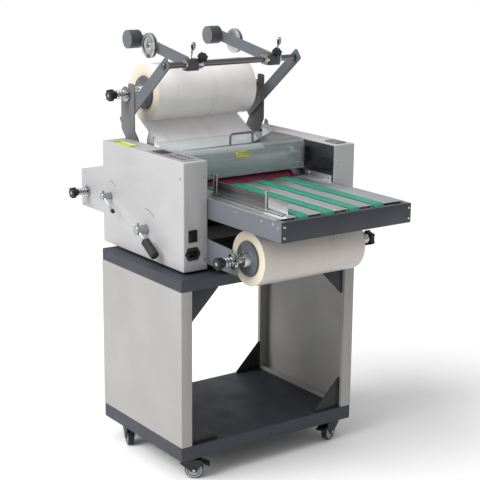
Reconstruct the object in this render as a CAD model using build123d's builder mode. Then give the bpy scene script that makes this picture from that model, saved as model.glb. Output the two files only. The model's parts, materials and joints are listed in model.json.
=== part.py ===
from build123d import *
import os
from math import atan2, cos, degrees, hypot, radians, sin

# A 13 inch roll laminator that feeds two films to a heated nip, standing on a
# wheeled cart.  X runs along the rollers, Y from the feed table to the back,
# Z up; the origin is on the floor under the middle of the whole machine.

os.makedirs("parts", exist_ok=True)

# ---------------------------------------------------------------- cart sizes
cart_width = 578
cart_depth = 412
cart_front = -155.5
castor_height = 63
shelf_height = 39
panel_height = 429
cart_top_height = 32
slab_sheet = 2
slab_flange = 12
slab_corner = 4
panel_sheet = 1.5
panel_flange = 33
panel_lip = 12
gusset_leg = 88
gusset_sheet = 3
gusset_inset = 10
gusset_tip = 6

cart_back = cart_front + cart_depth
cart_mid_y = (cart_front + cart_back) / 2
shelf_top = castor_height + shelf_height
cart_top_bottom = shelf_top + panel_height
cart_top = cart_top_bottom + cart_top_height

# -------------------------------------------------------------- castor sizes
castor_plate = 56
castor_plate_sheet = 2.5
castor_tube = 40
castor_tube_wall = 3
castor_inset_x = 34
castor_inset_front = 36
castor_inset_back = 72
castor_wheel_radius = 25
castor_wheel_width = 18
castor_trail = 24
castor_fork_sheet = 2.5
castor_fork_gap = 1.2
castor_race_radius = 17
castor_race_height = 5

# ------------------------------------------------------------- machine sizes
machine_x = 29.5
machine_front = -113
machine_depth = 420
machine_height = 290.5
feet_height = 6
frame_half = 211
frame_sheet = 5
cover_width = 73
cover_sheet = 1.5
cover_corner = 3
seat_gap = 0.3
running_fit = 0.06

machine_back = machine_front + machine_depth
machine_bottom = cart_top + feet_height
machine_top = machine_bottom + machine_height
cover_half = frame_half + cover_width

# ------------------------------------------------------------- roller sizes
nip_z = machine_top - 91
roller_y = 55
roller_radius = 35
roller_half = frame_half - 26
journal_radius = 10
bearing_radius = 18
nip_gap = 0.3
pull_y = 270
pull_radius = 22
pull_journal = 8
rewind_y = 397.3
rewind_z = machine_bottom + 129.3
rewind_radius = 7

roller_rise = roller_radius + nip_gap / 2
pull_rise = pull_radius + nip_gap / 2

# --------------------------------------------------------------- film sizes
film_width = 331
core_inner = 38.1
core_outer = 47.7
web_sheet = 0.8
upper_film_radius = 80.7
upper_film_y = 274
upper_film_z = machine_top + 129
lower_film_radius = 72.5
lower_film_y = -235.5
lower_film_z = machine_bottom + 49.3
shaft_radius = 9
chuck_radius = 45
chuck_disc = 5
chuck_gap = 0.4
hub_radius = 20
hub_length = 18

film_half = film_width / 2

# -------------------------------------------------------- film carrier sizes
upright_sheet = 3
upright_step = 12
upright_front = 233
upright_back = 305
upright_finger = 30
upright_top = machine_top + 160.5
upright_horn = machine_top + 125.5
upright_bottom = machine_top - 41.5
step_low = machine_top + 4.5
step_high = machine_top + 29.5
bar_y = 79.6
bar_z = machine_top + 225.5
bar_radius = 8.5
bar_half = frame_half + 15
arm_sheet = 5
arm_width = 34
arm_reach = 295

# ------------------------------------------------------- feed table and deck
table_front = -433
table_top = nip_z - 11.5
table_height = 51.3
table_half = frame_half - 2
table_sheet = 2
table_flange = 24
deck_top = nip_z - 10
deck_back = 8
deck_front = -404
belt_proud = 2.1
loop_gap = 0.3
belt_width = 32
belt_pitch = 81.5
belt_gap = 2
belt_sheet = 1.5
belt_roller_y = -396
belt_roller_radius = 11
belt_nose_radius = 5
fence_offset = 162.4

sides = (("left", -1), ("right", 1))
ends = (("front", 1), ("back", -1))


# ------------------------------------------------------------------- helpers
# Each helper adds to, or cuts from, the part that is being built around it.
def along_x(x):
    """The plane square to X at x, whose own axes are Y and Z."""
    return Plane.YZ.offset(x)


def rod(x_from, x_to, radius, y, z, mode=Mode.ADD):
    """A round length that lies along X."""
    with BuildSketch(along_x(x_from)) as section:
        with Locations((y, z)):
            Circle(radius)
    extrude(section.sketch, amount=x_to - x_from, mode=mode)


def block(x_span, y_span, z_span, mode=Mode.ADD):
    """A straight block between two corners."""
    with BuildSketch(Plane.XY.offset(z_span[0])) as section:
        with Locations(((x_span[0] + x_span[1]) / 2, (y_span[0] + y_span[1]) / 2)):
            Rectangle(abs(x_span[1] - x_span[0]), abs(y_span[1] - y_span[0]))
    extrude(section.sketch, amount=z_span[1] - z_span[0], mode=mode)


def side_plate(points, x_from, x_to, round_radius=0, mode=Mode.ADD):
    """A flat plate square to X with the outline of points in Y and Z."""
    with BuildSketch(along_x(x_from)) as outline:
        with BuildLine():
            Polyline(*points, close=True)
        make_face()
        if round_radius:
            fillet(outline.vertices(), round_radius)
    extrude(outline.sketch, amount=x_to - x_from, mode=mode)


def star_head(x_from, x_to, radius, y, z, lobes=7):
    """A lobed hand knob head along X, with its edges eased."""
    with BuildSketch(along_x(x_from)) as outline:
        with Locations((y, z)):
            Circle(radius * 0.86)
            with PolarLocations(radius * 0.76, lobes):
                Circle(radius * 0.24)
    extrude(outline.sketch, amount=x_to - x_from)


def coil(x_from, x_to, radius, wire, turns, y, z):
    """A compression spring along X."""
    with BuildLine() as path:
        Helix((x_to - x_from) / turns, x_to - x_from, radius, (x_from, y, z), (1, 0, 0))
    start = path.line @ 0
    with BuildSketch(Plane(origin=start, z_dir=path.line % 0)) as section:
        Circle(wire)
    sweep(section.sketch, path=path.line)


# ---------------------------------------------------------------------- cart
def slab(bottom, height):
    """A folded sheet tray, open underneath within a flange all round."""
    with BuildPart() as tray:
        with BuildSketch(Plane.XY.offset(bottom)):
            with Locations((0, cart_mid_y)):
                RectangleRounded(cart_width, cart_depth, slab_corner)
        extrude(amount=height)
        fillet(tray.faces().sort_by(Axis.Z)[-1].edges(), slab_sheet)
        wall = 2 * slab_sheet
        with BuildSketch(Plane.XY.offset(bottom + slab_sheet)):
            with Locations((0, cart_mid_y)):
                Rectangle(cart_width - wall, cart_depth - wall)
        extrude(amount=height - wall, mode=Mode.SUBTRACT)
        with BuildSketch(Plane.XY.offset(bottom)):
            with Locations((0, cart_mid_y)):
                Rectangle(cart_width - 2 * slab_flange, cart_depth - 2 * slab_flange)
        extrude(amount=slab_sheet, mode=Mode.SUBTRACT)
    return tray


base_shelf = slab(castor_height, shelf_height)
base_shelf.part.label = "base_shelf"
export_step(base_shelf.part, "parts/base_shelf.step")

cart_lid = slab(cart_top_bottom, cart_top_height)
cart_lid.part.label = "cart_top"
export_step(cart_lid.part, "parts/cart_top.step")

# Each side panel is a pan with its walls turned inwards and a lip round them.
panel_x = cart_width / 2
with BuildPart() as side_panels:
    for side, sign in sides:
        outer = sign * panel_x
        inner = sign * (panel_x - panel_flange)
        skin = sign * panel_sheet
        block((outer, inner), (cart_front, cart_back), (shelf_top, cart_top_bottom))
        block((outer - skin, inner + skin), (cart_front + panel_sheet, cart_back - panel_sheet),
              (shelf_top + panel_sheet, cart_top_bottom - panel_sheet), Mode.SUBTRACT)
        block((inner, inner + skin), (cart_front + panel_lip, cart_back - panel_lip),
              (shelf_top + panel_lip, cart_top_bottom - panel_lip), Mode.SUBTRACT)
side_panels.part.label = "side_panels"
export_step(side_panels.part, "parts/side_panels.step")

# Triangular plates brace every inner corner of the cart, front and back.
gusset_x = panel_x - panel_flange
with BuildPart() as corner_gussets:
    for end, inward in ends:
        face_y = (cart_front if end == "front" else cart_back) + inward * gusset_inset
        for side, sign in sides:
            for corner_z, rise in ((shelf_top, 1), (cart_top_bottom, -1)):
                with BuildSketch(Plane.XZ.offset(-face_y)) as triangle:
                    with BuildLine():
                        Polyline((sign * gusset_x, corner_z),
                                 (sign * (gusset_x - gusset_leg), corner_z),
                                 (sign * (gusset_x - gusset_leg), corner_z + rise * gusset_tip),
                                 (sign * (gusset_x - gusset_tip), corner_z + rise * gusset_leg),
                                 (sign * gusset_x, corner_z + rise * gusset_leg), close=True)
                    make_face()
                extrude(amount=-inward * gusset_sheet)
corner_gussets.part.label = "corner_gussets"
export_step(corner_gussets.part, "parts/corner_gussets.step")

# ------------------------------------------------------------------- castors
# The heading is the way each wheel trails from its swivel, in degrees from +X.
castors = (
    ("front_left", -1, "front", -36),
    ("front_right", 1, "front", 200),
    ("back_left", -1, "back", -109),
    ("back_right", 1, "back", -70),
)


def swivel_point(sign, end):
    y = cart_front + castor_inset_front if end == "front" else cart_back - castor_inset_back
    return sign * (cart_width / 2 - castor_inset_x), y


plate_bottom = castor_height - castor_plate_sheet
race_bottom = plate_bottom - castor_race_height
fork_top = race_bottom - seat_gap
with BuildPart() as castor_plates:
    for name, sign, end, heading in castors:
        with BuildSketch(Plane.XY.offset(plate_bottom)):
            with Locations(swivel_point(sign, end)):
                RectangleRounded(castor_plate, castor_plate, slab_corner)
        extrude(amount=castor_plate_sheet)
        with BuildSketch(Plane.XY.offset(race_bottom)):
            with Locations(swivel_point(sign, end)):
                Circle(castor_race_radius)
        extrude(amount=castor_race_height)
        # A length of square tube on each plate fills the tray up to its top.
        with BuildSketch(Plane.XY.offset(castor_height)):
            with Locations(swivel_point(sign, end)):
                Rectangle(castor_tube, castor_tube)
                Rectangle(castor_tube - 2 * castor_tube_wall, castor_tube - 2 * castor_tube_wall,
                          mode=Mode.SUBTRACT)
        extrude(amount=shelf_height - slab_sheet)
castor_plates.part.label = "castor_plates"
export_step(castor_plates.part, "parts/castor_plates.step")

castor_axle_radius = 3
castor_tyre = 7
castor_dish = 3
leg_front = -13
leg_tip = 6
leg_inner = castor_wheel_width / 2 + castor_fork_gap
leg_outer = leg_inner + castor_fork_sheet
pedal_pin = (castor_trail + 16, castor_wheel_radius + 24)
pedal_pin_radius = 2
pedal_hub_radius = 3.4
pedal_reach = castor_trail + 42
pedal_drop = 9
pedal_half = leg_inner - castor_fork_gap / 2
for name, sign, end, heading in castors:
    x, y = swivel_point(sign, end)
    trail = (cos(radians(heading)), sin(radians(heading)), 0)
    # In this plane the swivel axis is at x = 0 and the height is y.
    fork_plane = Plane(origin=(x, y, 0), x_dir=trail, z_dir=(trail[1], -trail[0], 0))
    with BuildPart() as castor_fork:
        with BuildSketch(Plane.XY.offset(fork_top - castor_fork_sheet)):
            with Locations((x, y)):
                Circle(castor_race_radius + 2)
        extrude(amount=castor_fork_sheet)
        for offset in (leg_inner, -leg_outer):
            with BuildSketch(fork_plane.offset(offset)):
                with BuildLine():
                    Polyline((leg_front, fork_top), (pedal_pin[0] + leg_tip, fork_top),
                             (pedal_pin[0] + leg_tip, pedal_pin[1] - leg_tip),
                             (castor_trail + leg_tip, castor_wheel_radius - leg_tip),
                             (castor_trail - leg_tip, castor_wheel_radius - leg_tip),
                             (leg_front, fork_top - 2 * leg_tip), close=True)
                make_face()
            extrude(amount=castor_fork_sheet)
        with BuildSketch(fork_plane.offset(-leg_outer)):
            with Locations(pedal_pin):
                Circle(pedal_pin_radius)
        extrude(amount=2 * leg_outer)
        with BuildSketch(fork_plane.offset(-leg_outer)):
            with Locations((castor_trail, castor_wheel_radius)):
                Circle(castor_axle_radius)
        extrude(amount=2 * leg_outer)
    castor_fork.part.label = f"{name}_castor_fork"
    export_step(castor_fork.part, f"parts/{name}_castor_fork.step")

    with BuildPart() as castor_wheel:
        with BuildSketch(fork_plane.offset(-castor_wheel_width / 2)):
            with Locations((castor_trail, castor_wheel_radius)):
                Circle(castor_wheel_radius)
        extrude(amount=castor_wheel_width)
        fillet(castor_wheel.edges().filter_by(GeomType.CIRCLE), castor_dish)
        for offset in (-castor_wheel_width / 2, castor_wheel_width / 2):
            with BuildSketch(fork_plane.offset(offset)):
                with Locations((castor_trail, castor_wheel_radius)):
                    Circle(castor_wheel_radius - castor_tyre)
                    Circle(castor_tyre, mode=Mode.SUBTRACT)
            extrude(amount=-castor_dish if offset > 0 else castor_dish, mode=Mode.SUBTRACT)
        with BuildSketch(fork_plane.offset(-castor_wheel_width / 2)):
            with Locations((castor_trail, castor_wheel_radius)):
                Circle(castor_axle_radius + running_fit)
        extrude(amount=castor_wheel_width, mode=Mode.SUBTRACT)
    castor_wheel.part.label = f"{name}_castor_wheel"
    export_step(castor_wheel.part, f"parts/{name}_castor_wheel.step")

    if end == "front":
        # The brake pedal turns on the fork's upper pin and reaches past the tyre.
        with BuildPart() as brake_pedal:
            with BuildSketch(fork_plane.offset(-pedal_half)):
                with BuildLine():
                    Polyline(pedal_pin, (pedal_pin[0] + 3, pedal_pin[1] + 2),
                             (pedal_reach, pedal_pin[1] - pedal_drop + 2),
                             (pedal_reach, pedal_pin[1] - pedal_drop - 2),
                             (pedal_pin[0] + 3, pedal_pin[1] - 2.5), close=True)
                make_face()
                with Locations(pedal_pin):
                    Circle(pedal_hub_radius)
            extrude(amount=2 * pedal_half)
            with BuildSketch(fork_plane.offset(-leg_outer - 3)):
                with BuildLine():
                    Polyline((pedal_pin[0] + 8, pedal_pin[1] + 0.3),
                             (pedal_reach, pedal_pin[1] - pedal_drop + 2),
                             (pedal_reach, pedal_pin[1] - pedal_drop - 2),
                             (pedal_pin[0] + 8, pedal_pin[1] - 4), close=True)
                make_face()
            extrude(amount=2 * (leg_outer + 3))
            with BuildSketch(fork_plane.offset(-pedal_half)):
                with Locations(pedal_pin):
                    Circle(pedal_pin_radius + running_fit)
            extrude(amount=2 * pedal_half, mode=Mode.SUBTRACT)
        brake_pedal.part.label = f"{name}_brake_pedal"
        export_step(brake_pedal.part, f"parts/{name}_brake_pedal.step")


# -------------------------------------------------------------- machine body
def frame_x(distance):
    """X at a distance from the machine's middle plane."""
    return machine_x + distance


base_sheet = 3
base_front = -50
base_back = machine_back - 12
base_lip = 60
base_half = frame_half - 1
feet_radius = 14
feet_half = 165
feet_rows = (-20, cart_back - 30)
with BuildPart() as machine_feet:
    with Locations(*[(frame_x(sign * feet_half), y, cart_top + feet_height / 2)
                     for side, sign in sides for y in feet_rows]):
        Cylinder(feet_radius, feet_height)
machine_feet.part.label = "machine_feet"
export_step(machine_feet.part, "parts/machine_feet.step")

with BuildPart() as machine_base:
    side_plate([(base_front, machine_bottom), (base_back, machine_bottom),
                (base_back, machine_bottom + base_lip),
                (base_back - base_sheet, machine_bottom + base_lip),
                (base_back - base_sheet, machine_bottom + base_sheet),
                (base_front + base_sheet, machine_bottom + base_sheet),
                (base_front + base_sheet, machine_bottom + base_lip),
                (base_front, machine_bottom + base_lip)],
               frame_x(-base_half), frame_x(base_half))
machine_base.part.label = "machine_base"
export_step(machine_base.part, "parts/machine_base.step")

# The two steel side frames carry every roller on bearings let into them.
frame_margin = 2.5
slot_half = bearing_radius + 4
heated_axis = (roller_y, nip_z + roller_rise)
rubber_axis = (roller_y, nip_z - roller_rise)
upper_pull_axis = (pull_y, nip_z + pull_rise)
lower_pull_axis = (pull_y, nip_z - pull_rise)
nip_travel = 3
with BuildPart() as side_frames:
    for side, sign in sides:
        near = frame_x(sign * frame_half)
        far = frame_x(sign * (frame_half + frame_sheet))
        side_plate([(machine_front + frame_margin, machine_bottom + frame_margin),
                    (machine_back - frame_margin, machine_bottom + frame_margin),
                    (machine_back - frame_margin, machine_top - frame_margin),
                    (machine_front + frame_margin, machine_top - frame_margin)], near, far, 4)
        for y, z in (heated_axis, upper_pull_axis, lower_pull_axis):
            rod(near, far, bearing_radius, y, z, Mode.SUBTRACT)
        # The rubber roller's bearing block rises and falls in a tall slot.
        block((near, far), (roller_y - slot_half, roller_y + slot_half),
              (rubber_axis[1] - slot_half - nip_travel, rubber_axis[1] + slot_half - 6), Mode.SUBTRACT)
side_frames.part.label = "side_frames"
export_step(side_frames.part, "parts/side_frames.step")

# Flanged bearings: a ring through the frame and a flange on its outer face.
pull_bearing_axes = (upper_pull_axis, lower_pull_axis)
bearing_flange = 3
with BuildPart() as roller_bearings:
    for side, sign in sides:
        inside = frame_x(sign * frame_half)
        outside = frame_x(sign * (frame_half + frame_sheet))
        flange = frame_x(sign * (frame_half + frame_sheet + bearing_flange))
        for axis, bore in ((heated_axis, journal_radius), (upper_pull_axis, pull_journal),
                           (lower_pull_axis, pull_journal)):
            rod(inside, outside, bearing_radius - 0.02, *axis)
            rod(outside, flange, bearing_radius + 2.5, *axis)
            rod(inside, flange, bore + running_fit, *axis, Mode.SUBTRACT)
        tail = frame_x(sign * (cover_half - cover_sheet))
        collar = frame_x(sign * (cover_half - cover_sheet - 6))
        rod(tail, collar, rewind_radius + 6, rewind_y, rewind_z)
        rod(tail, collar, rewind_radius + running_fit, rewind_y, rewind_z, Mode.SUBTRACT)
roller_bearings.part.label = "roller_bearings"
export_step(roller_bearings.part, "parts/roller_bearings.step")

# Sliding blocks that hold the rubber roller and carry it up to the nip.
slide_gap = 0.4
with BuildPart() as nip_blocks:
    for side, sign in sides:
        inside = frame_x(sign * (frame_half - 2))
        outside = frame_x(sign * (frame_half + frame_sheet + 4))
        block((inside, outside), (roller_y - slot_half + slide_gap, roller_y + slot_half - slide_gap),
              (rubber_axis[1] - slot_half, rubber_axis[1] + bearing_radius - 3.5))
        rod(inside, outside, journal_radius + running_fit, *rubber_axis, Mode.SUBTRACT)
nip_blocks.part.label = "nip_blocks"
export_step(nip_blocks.part, "parts/nip_blocks.step")


# -------------------------------------------------------------------- covers
tongue_back = 433
tongue_low = machine_bottom + 82
tongue_top_front = machine_bottom + 218.7
tongue_top_back = machine_bottom + 189.3
tongue_lip = 9
lever_boss = 13
pull_boss = 10
pressure_y = 73.6
pressure_z = machine_bottom + 81
pull_lever_y = 264.6
pull_lever_z = machine_bottom + 139
switch_x = frame_x(-frame_half - 45)
switch_z = machine_bottom + 95.5
switch_width = 26.6
switch_height = 32
inlet_x = frame_x(-frame_half - 45.3)
inlet_z = machine_bottom + 48
inlet_width = 47
inlet_height = 34
shaft_hole_gap = 1


def cover_shell(sign):
    """One side cover: a five sided shell, open towards the side frame, with a tongue at the back."""
    outer = frame_x(sign * cover_half)
    open_side = frame_x(sign * frame_half)
    skin = sign * cover_sheet
    with BuildPart() as shell:
        with BuildSketch(along_x(open_side)) as outline:
            with Locations(((machine_front + machine_back) / 2, (machine_bottom + machine_top) / 2)):
                Rectangle(machine_depth, machine_height)
        extrude(amount=outer - open_side)
        outer_face = shell.faces().sort_by(Axis.X)[-1 if sign > 0 else 0]
        fillet(shell.edges().filter_by(Axis.X) + outer_face.edges(), cover_corner)
        with BuildSketch(along_x(outer - skin)):
            with BuildLine():
                Polyline((machine_back - cover_corner, tongue_low), (tongue_back, tongue_low),
                         (tongue_back, tongue_top_back),
                         (machine_back - cover_corner, tongue_top_front), close=True)
            make_face()
        extrude(amount=skin)
        # A turned lip stiffens the tongue along its back edge.
        with BuildSketch(along_x(outer - skin)):
            with BuildLine():
                Polyline((tongue_back - cover_sheet, tongue_low), (tongue_back, tongue_low),
                         (tongue_back, tongue_top_back), (tongue_back - cover_sheet, tongue_top_back),
                         close=True)
            make_face()
        extrude(amount=-sign * tongue_lip)
        with BuildSketch(along_x(open_side)):
            with Locations(((machine_front + machine_back) / 2, (machine_bottom + machine_top) / 2)):
                RectangleRounded(machine_depth - 2 * cover_sheet, machine_height - 2 * cover_sheet,
                                 cover_corner - cover_sheet)
        extrude(amount=outer - open_side - skin, mode=Mode.SUBTRACT)
        with BuildSketch(along_x(outer - 2 * skin)):
            with Locations((rewind_y, rewind_z)):
                Circle(rewind_radius + shaft_hole_gap)
            if sign < 0:
                with Locations((pressure_y, pressure_z), (pull_lever_y, pull_lever_z)):
                    Circle(6 + shaft_hole_gap)
        extrude(amount=3 * skin, mode=Mode.SUBTRACT)
        if sign < 0:
            with BuildSketch(Plane.XZ.offset(-machine_front - cover_sheet)):
                with Locations((switch_x, switch_z)):
                    Rectangle(switch_width - 4, switch_height - 4)
                with Locations((inlet_x, inlet_z)):
                    Rectangle(inlet_width - 16, inlet_height - 8)
            extrude(amount=2 * cover_sheet, mode=Mode.SUBTRACT)
    return shell


left_cover = cover_shell(-1)
left_cover.part.label = "left_cover"
export_step(left_cover.part, "parts/left_cover.step")

right_cover = cover_shell(1)
right_cover.part.label = "right_cover"
export_step(right_cover.part, "parts/right_cover.step")

# A membrane control panel lies on the left cover, with two rows of keys.
panel_size = (58, 186)
panel_mid = (frame_x(-frame_half - 34), -2)
panel_film = 0.8
key_size = (13, 9)
key_pitch = (24, 17)
key_rise = 0.6
display_size = (34, 56)
with BuildPart() as control_panel:
    with BuildSketch(Plane.XY.offset(machine_top)):
        with Locations(panel_mid):
            RectangleRounded(*panel_size, 4)
    extrude(amount=panel_film)
    with BuildSketch(Plane.XY.offset(machine_top + panel_film)):
        with Locations((panel_mid[0], panel_mid[1] - 34)):
            with GridLocations(*key_pitch, 2, 5):
                RectangleRounded(*key_size, 2)
        with Locations((panel_mid[0], panel_mid[1] + 52)):
            RectangleRounded(*display_size, 2)
    extrude(amount=key_rise)
control_panel.part.label = "control_panel"
export_step(control_panel.part, "parts/control_panel.step")

# The power inlet has a six sided flange and a recess with three pins.
inlet_flange = 2.5
inlet_point = 9
inlet_box = (inlet_width - 16.6, inlet_height - 8.6)
inlet_box_depth = 26
inlet_recess = 19
inlet_recess_size = (25, 17)
inlet_pin_pitch = 7
bezel_wall = 3.5
bezel_inset = 2.3
bezel_sheet = 2
switch_depth = 14
bezel_opening = (switch_width - 2 * bezel_wall, switch_height - 2 * bezel_wall)
bezel_body = (switch_width - 2 * bezel_inset, switch_height - 2 * bezel_inset)
rocker_pin = 2
pin_end = bezel_opening[0] / 2 + 0.8
with BuildPart() as power_inlet:
    with BuildSketch(Plane.XZ.offset(-machine_front)) as flange_outline:
        with BuildLine():
            Polyline((inlet_x - inlet_width / 2, inlet_z),
                     (inlet_x - inlet_width / 2 + inlet_point, inlet_z - inlet_height / 2),
                     (inlet_x + inlet_width / 2 - inlet_point, inlet_z - inlet_height / 2),
                     (inlet_x + inlet_width / 2, inlet_z),
                     (inlet_x + inlet_width / 2 - inlet_point, inlet_z + inlet_height / 2),
                     (inlet_x - inlet_width / 2 + inlet_point, inlet_z + inlet_height / 2), close=True)
        make_face()
        fillet(flange_outline.vertices(), 3)
    extrude(amount=inlet_flange)
    with BuildSketch(Plane.XZ.offset(-machine_front)):
        with Locations((inlet_x, inlet_z)):
            Rectangle(*inlet_box)
    extrude(amount=-inlet_box_depth)
    with BuildSketch(Plane.XZ.offset(-machine_front + inlet_flange)):
        with Locations((inlet_x, inlet_z)):
            RectangleRounded(*inlet_recess_size, 3)
    extrude(amount=-inlet_recess, mode=Mode.SUBTRACT)
    with BuildSketch(Plane.XZ.offset(-machine_front + inlet_flange - inlet_recess)):
        with Locations((inlet_x - inlet_pin_pitch, inlet_z - 2), (inlet_x, inlet_z + 2),
                       (inlet_x + inlet_pin_pitch, inlet_z - 2)):
            Rectangle(2, 4)
    extrude(amount=inlet_recess - 5)
    # The switch bezel is the same moulding's neighbour, above the inlet.
    with BuildSketch(Plane.XZ.offset(-machine_front)):
        with Locations((switch_x, switch_z)):
            RectangleRounded(switch_width, switch_height, 2)
            Rectangle(*bezel_opening, mode=Mode.SUBTRACT)
    extrude(amount=bezel_sheet)
    with BuildSketch(Plane.XZ.offset(-machine_front)):
        with Locations((switch_x, switch_z)):
            Rectangle(*bezel_body)
            Rectangle(*bezel_opening, mode=Mode.SUBTRACT)
    extrude(amount=-switch_depth)
    with BuildSketch(Plane.XZ.offset(-machine_front - switch_depth)):
        with Locations((switch_x, switch_z)):
            Rectangle(*bezel_body)
    extrude(amount=-bezel_sheet)
    rod(switch_x - pin_end - seat_gap, switch_x + pin_end + seat_gap, rocker_pin + running_fit,
        machine_front, switch_z, Mode.SUBTRACT)
power_inlet.part.label = "power_inlet"
export_step(power_inlet.part, "parts/power_inlet.step")

# The rocker tips about its middle; it stands with its lower end pressed.
rocker_tilt = 8
rocker_half = bezel_opening[1] / 2 - 0.6
rocker_width = bezel_opening[0] - 1.2
rocker_depth = 7
rocker_slant = 2.5
rocker_plane = Plane(origin=(switch_x - rocker_width / 2, machine_front, switch_z),
                     x_dir=(0, cos(radians(rocker_tilt)), sin(radians(rocker_tilt))), z_dir=(1, 0, 0))
with BuildPart() as power_rocker:
    with BuildSketch(rocker_plane):
        with BuildLine():
            Polyline((-rocker_slant, -rocker_half + 0.3), (-rocker_slant / 2, 0),
                     (-rocker_slant, rocker_half - 0.3), (0, rocker_half),
                     (rocker_depth - rocker_slant, rocker_half - rocker_slant), (rocker_depth, 0),
                     (rocker_depth - rocker_slant, -rocker_half + rocker_slant), (0, -rocker_half),
                     close=True)
        make_face()
    extrude(amount=rocker_width)
    rod(switch_x - pin_end, switch_x + pin_end, rocker_pin, machine_front, switch_z)
power_rocker.part.label = "power_rocker"
export_step(power_rocker.part, "parts/power_rocker.step")

# A geared motor hangs on the left frame, inside the machine.
motor_y = 160
motor_z = machine_bottom + 71
gearbox_half = 36
gearbox_width = 40
motor_radius = 31
motor_length = 90
motor_cap = 24
with BuildPart() as drive_motor:
    inner = frame_x(-frame_half)
    motor_end = inner + gearbox_width + motor_length
    block((inner, inner + gearbox_width), (motor_y - gearbox_half, motor_y + gearbox_half),
          (motor_z - gearbox_half, motor_z + gearbox_half))
    fillet(drive_motor.edges().filter_by(Axis.X), 6)
    rod(inner + gearbox_width, motor_end, motor_radius, motor_y, motor_z)
    rod(motor_end, motor_end + 6, motor_cap, motor_y, motor_z)
drive_motor.part.label = "drive_motor"
export_step(drive_motor.part, "parts/drive_motor.step")


# ------------------------------------------------------------------- rollers
roller_edge = 1.5
shoulder_half = frame_half - 4
bearing_end = frame_half + frame_sheet + bearing_flange


def turned_roller(axis, face_radius, journal):
    """A roller face between two stepped journals that reach past the bearings."""
    with BuildPart() as roller:
        rod(frame_x(-roller_half), frame_x(roller_half), face_radius, *axis)
        chamfer(roller.edges().filter_by(GeomType.CIRCLE), roller_edge)
        rod(frame_x(-shoulder_half), frame_x(shoulder_half), journal + 3, *axis)
        rod(frame_x(-bearing_end - 8), frame_x(bearing_end + 8), journal, *axis)
    return roller


heated_roller = turned_roller(heated_axis, roller_radius, journal_radius)
heated_roller.part.label = "heated_roller"
export_step(heated_roller.part, "parts/heated_roller.step")

rubber_roller = turned_roller(rubber_axis, roller_radius, journal_radius)
rubber_roller.part.label = "rubber_roller"
export_step(rubber_roller.part, "parts/rubber_roller.step")

upper_pull_roller = turned_roller(upper_pull_axis, pull_radius, pull_journal)
upper_pull_roller.part.label = "upper_pull_roller"
export_step(upper_pull_roller.part, "parts/upper_pull_roller.step")

lower_pull_roller = turned_roller(lower_pull_axis, pull_radius, pull_journal)
lower_pull_roller.part.label = "lower_pull_roller"
export_step(lower_pull_roller.part, "parts/lower_pull_roller.step")

# ---------------------------------------------------------------- film path
guide_radius = 8
web_gap = 0.35
web_ride = web_gap + web_sheet / 2
web_slope = 30.8
upper_guide_y = 116
lower_guide = (-5, nip_z - 74.5)
web_nip_angle = 22


def tangent(start, start_radius, finish, finish_radius):
    """Ends of the straight run between two circles; a radius is positive
    where its circle lies to the left of the run."""
    dy = finish[0] - start[0]
    dz = finish[1] - start[1]
    turn = atan2(dz, dy) - atan2(finish_radius - start_radius,
                                 (hypot(dy, dz) ** 2 - (finish_radius - start_radius) ** 2) ** 0.5)
    left = (-sin(turn), cos(turn))
    leave = (start[0] - start_radius * left[0], start[1] - start_radius * left[1])
    reach = (finish[0] - finish_radius * left[0], finish[1] - finish_radius * left[1])
    return leave, reach


def bearing_from(centre, point):
    """The angle of a point round a centre, in degrees."""
    return degrees(atan2(point[1] - centre[1], point[0] - centre[0]))


def sweep_angle(start, finish, positive):
    """The turn from one angle to another, kept to the wanted sense."""
    turn = (finish - start) % 360
    return turn if positive else turn - 360


upper_roll = (upper_film_y, upper_film_z)
lower_roll = (lower_film_y, lower_film_z)
# The upper guide stands just above the line that the film takes off its roll.
slope_cos, slope_sin = cos(radians(web_slope)), sin(radians(web_slope))
leave_roll = (upper_film_y + (upper_film_radius + web_ride) * slope_sin,
              upper_film_z - (upper_film_radius + web_ride) * slope_cos)
guide_run = (leave_roll[0] - upper_guide_y) / slope_cos
upper_guide = (leave_roll[0] - guide_run * slope_cos - (guide_radius + web_ride) * slope_sin,
               leave_roll[1] - guide_run * slope_sin + (guide_radius + web_ride) * slope_cos)

with BuildPart() as guide_bars:
    for guide in (upper_guide, lower_guide):
        rod(frame_x(-frame_half), frame_x(frame_half), guide_radius, *guide)
guide_bars.part.label = "guide_bars"
export_step(guide_bars.part, "parts/guide_bars.step")


def film_web(roll, roll_radius, guide, guide_side, roller, roller_side, last_angle):
    """One film from its roll, round a guide bar, on to a nip roller."""
    guide_ride = guide_side * (guide_radius + web_ride)
    roller_ride = roller_side * (roller_radius + web_ride)
    off_roll, on_guide = tangent(roll, -(roll_radius + web_ride), guide, guide_ride)
    off_guide, on_roller = tangent(guide, guide_ride, roller, roller_ride)
    guide_start = bearing_from(guide, on_guide)
    guide_turn = sweep_angle(guide_start, bearing_from(guide, off_guide), guide_side > 0)
    roller_start = bearing_from(roller, on_roller)
    roller_turn = sweep_angle(roller_start, last_angle, roller_side > 0)
    with BuildPart() as web:
        with BuildSketch(along_x(frame_x(-film_half))):
            with BuildLine():
                Line(off_roll, on_guide)
                CenterArc(guide, guide_radius + web_ride, guide_start, guide_turn)
                Line(off_guide, on_roller)
                CenterArc(roller, roller_radius + web_ride, roller_start, roller_turn)
            trace(line_width=web_sheet)
        extrude(amount=film_width)
    return web.part


upper_web = film_web(upper_roll, upper_film_radius, upper_guide, -1, heated_axis, 1, 270 - web_nip_angle)
lower_web = film_web(lower_roll, lower_film_radius, lower_guide, 1, rubber_axis, -1, 90 + web_nip_angle)
with BuildPart() as film_webs:
    add(upper_web)
    add(lower_web)
film_webs.part.label = "film_webs"
export_step(film_webs.part, "parts/film_webs.step")

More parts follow.
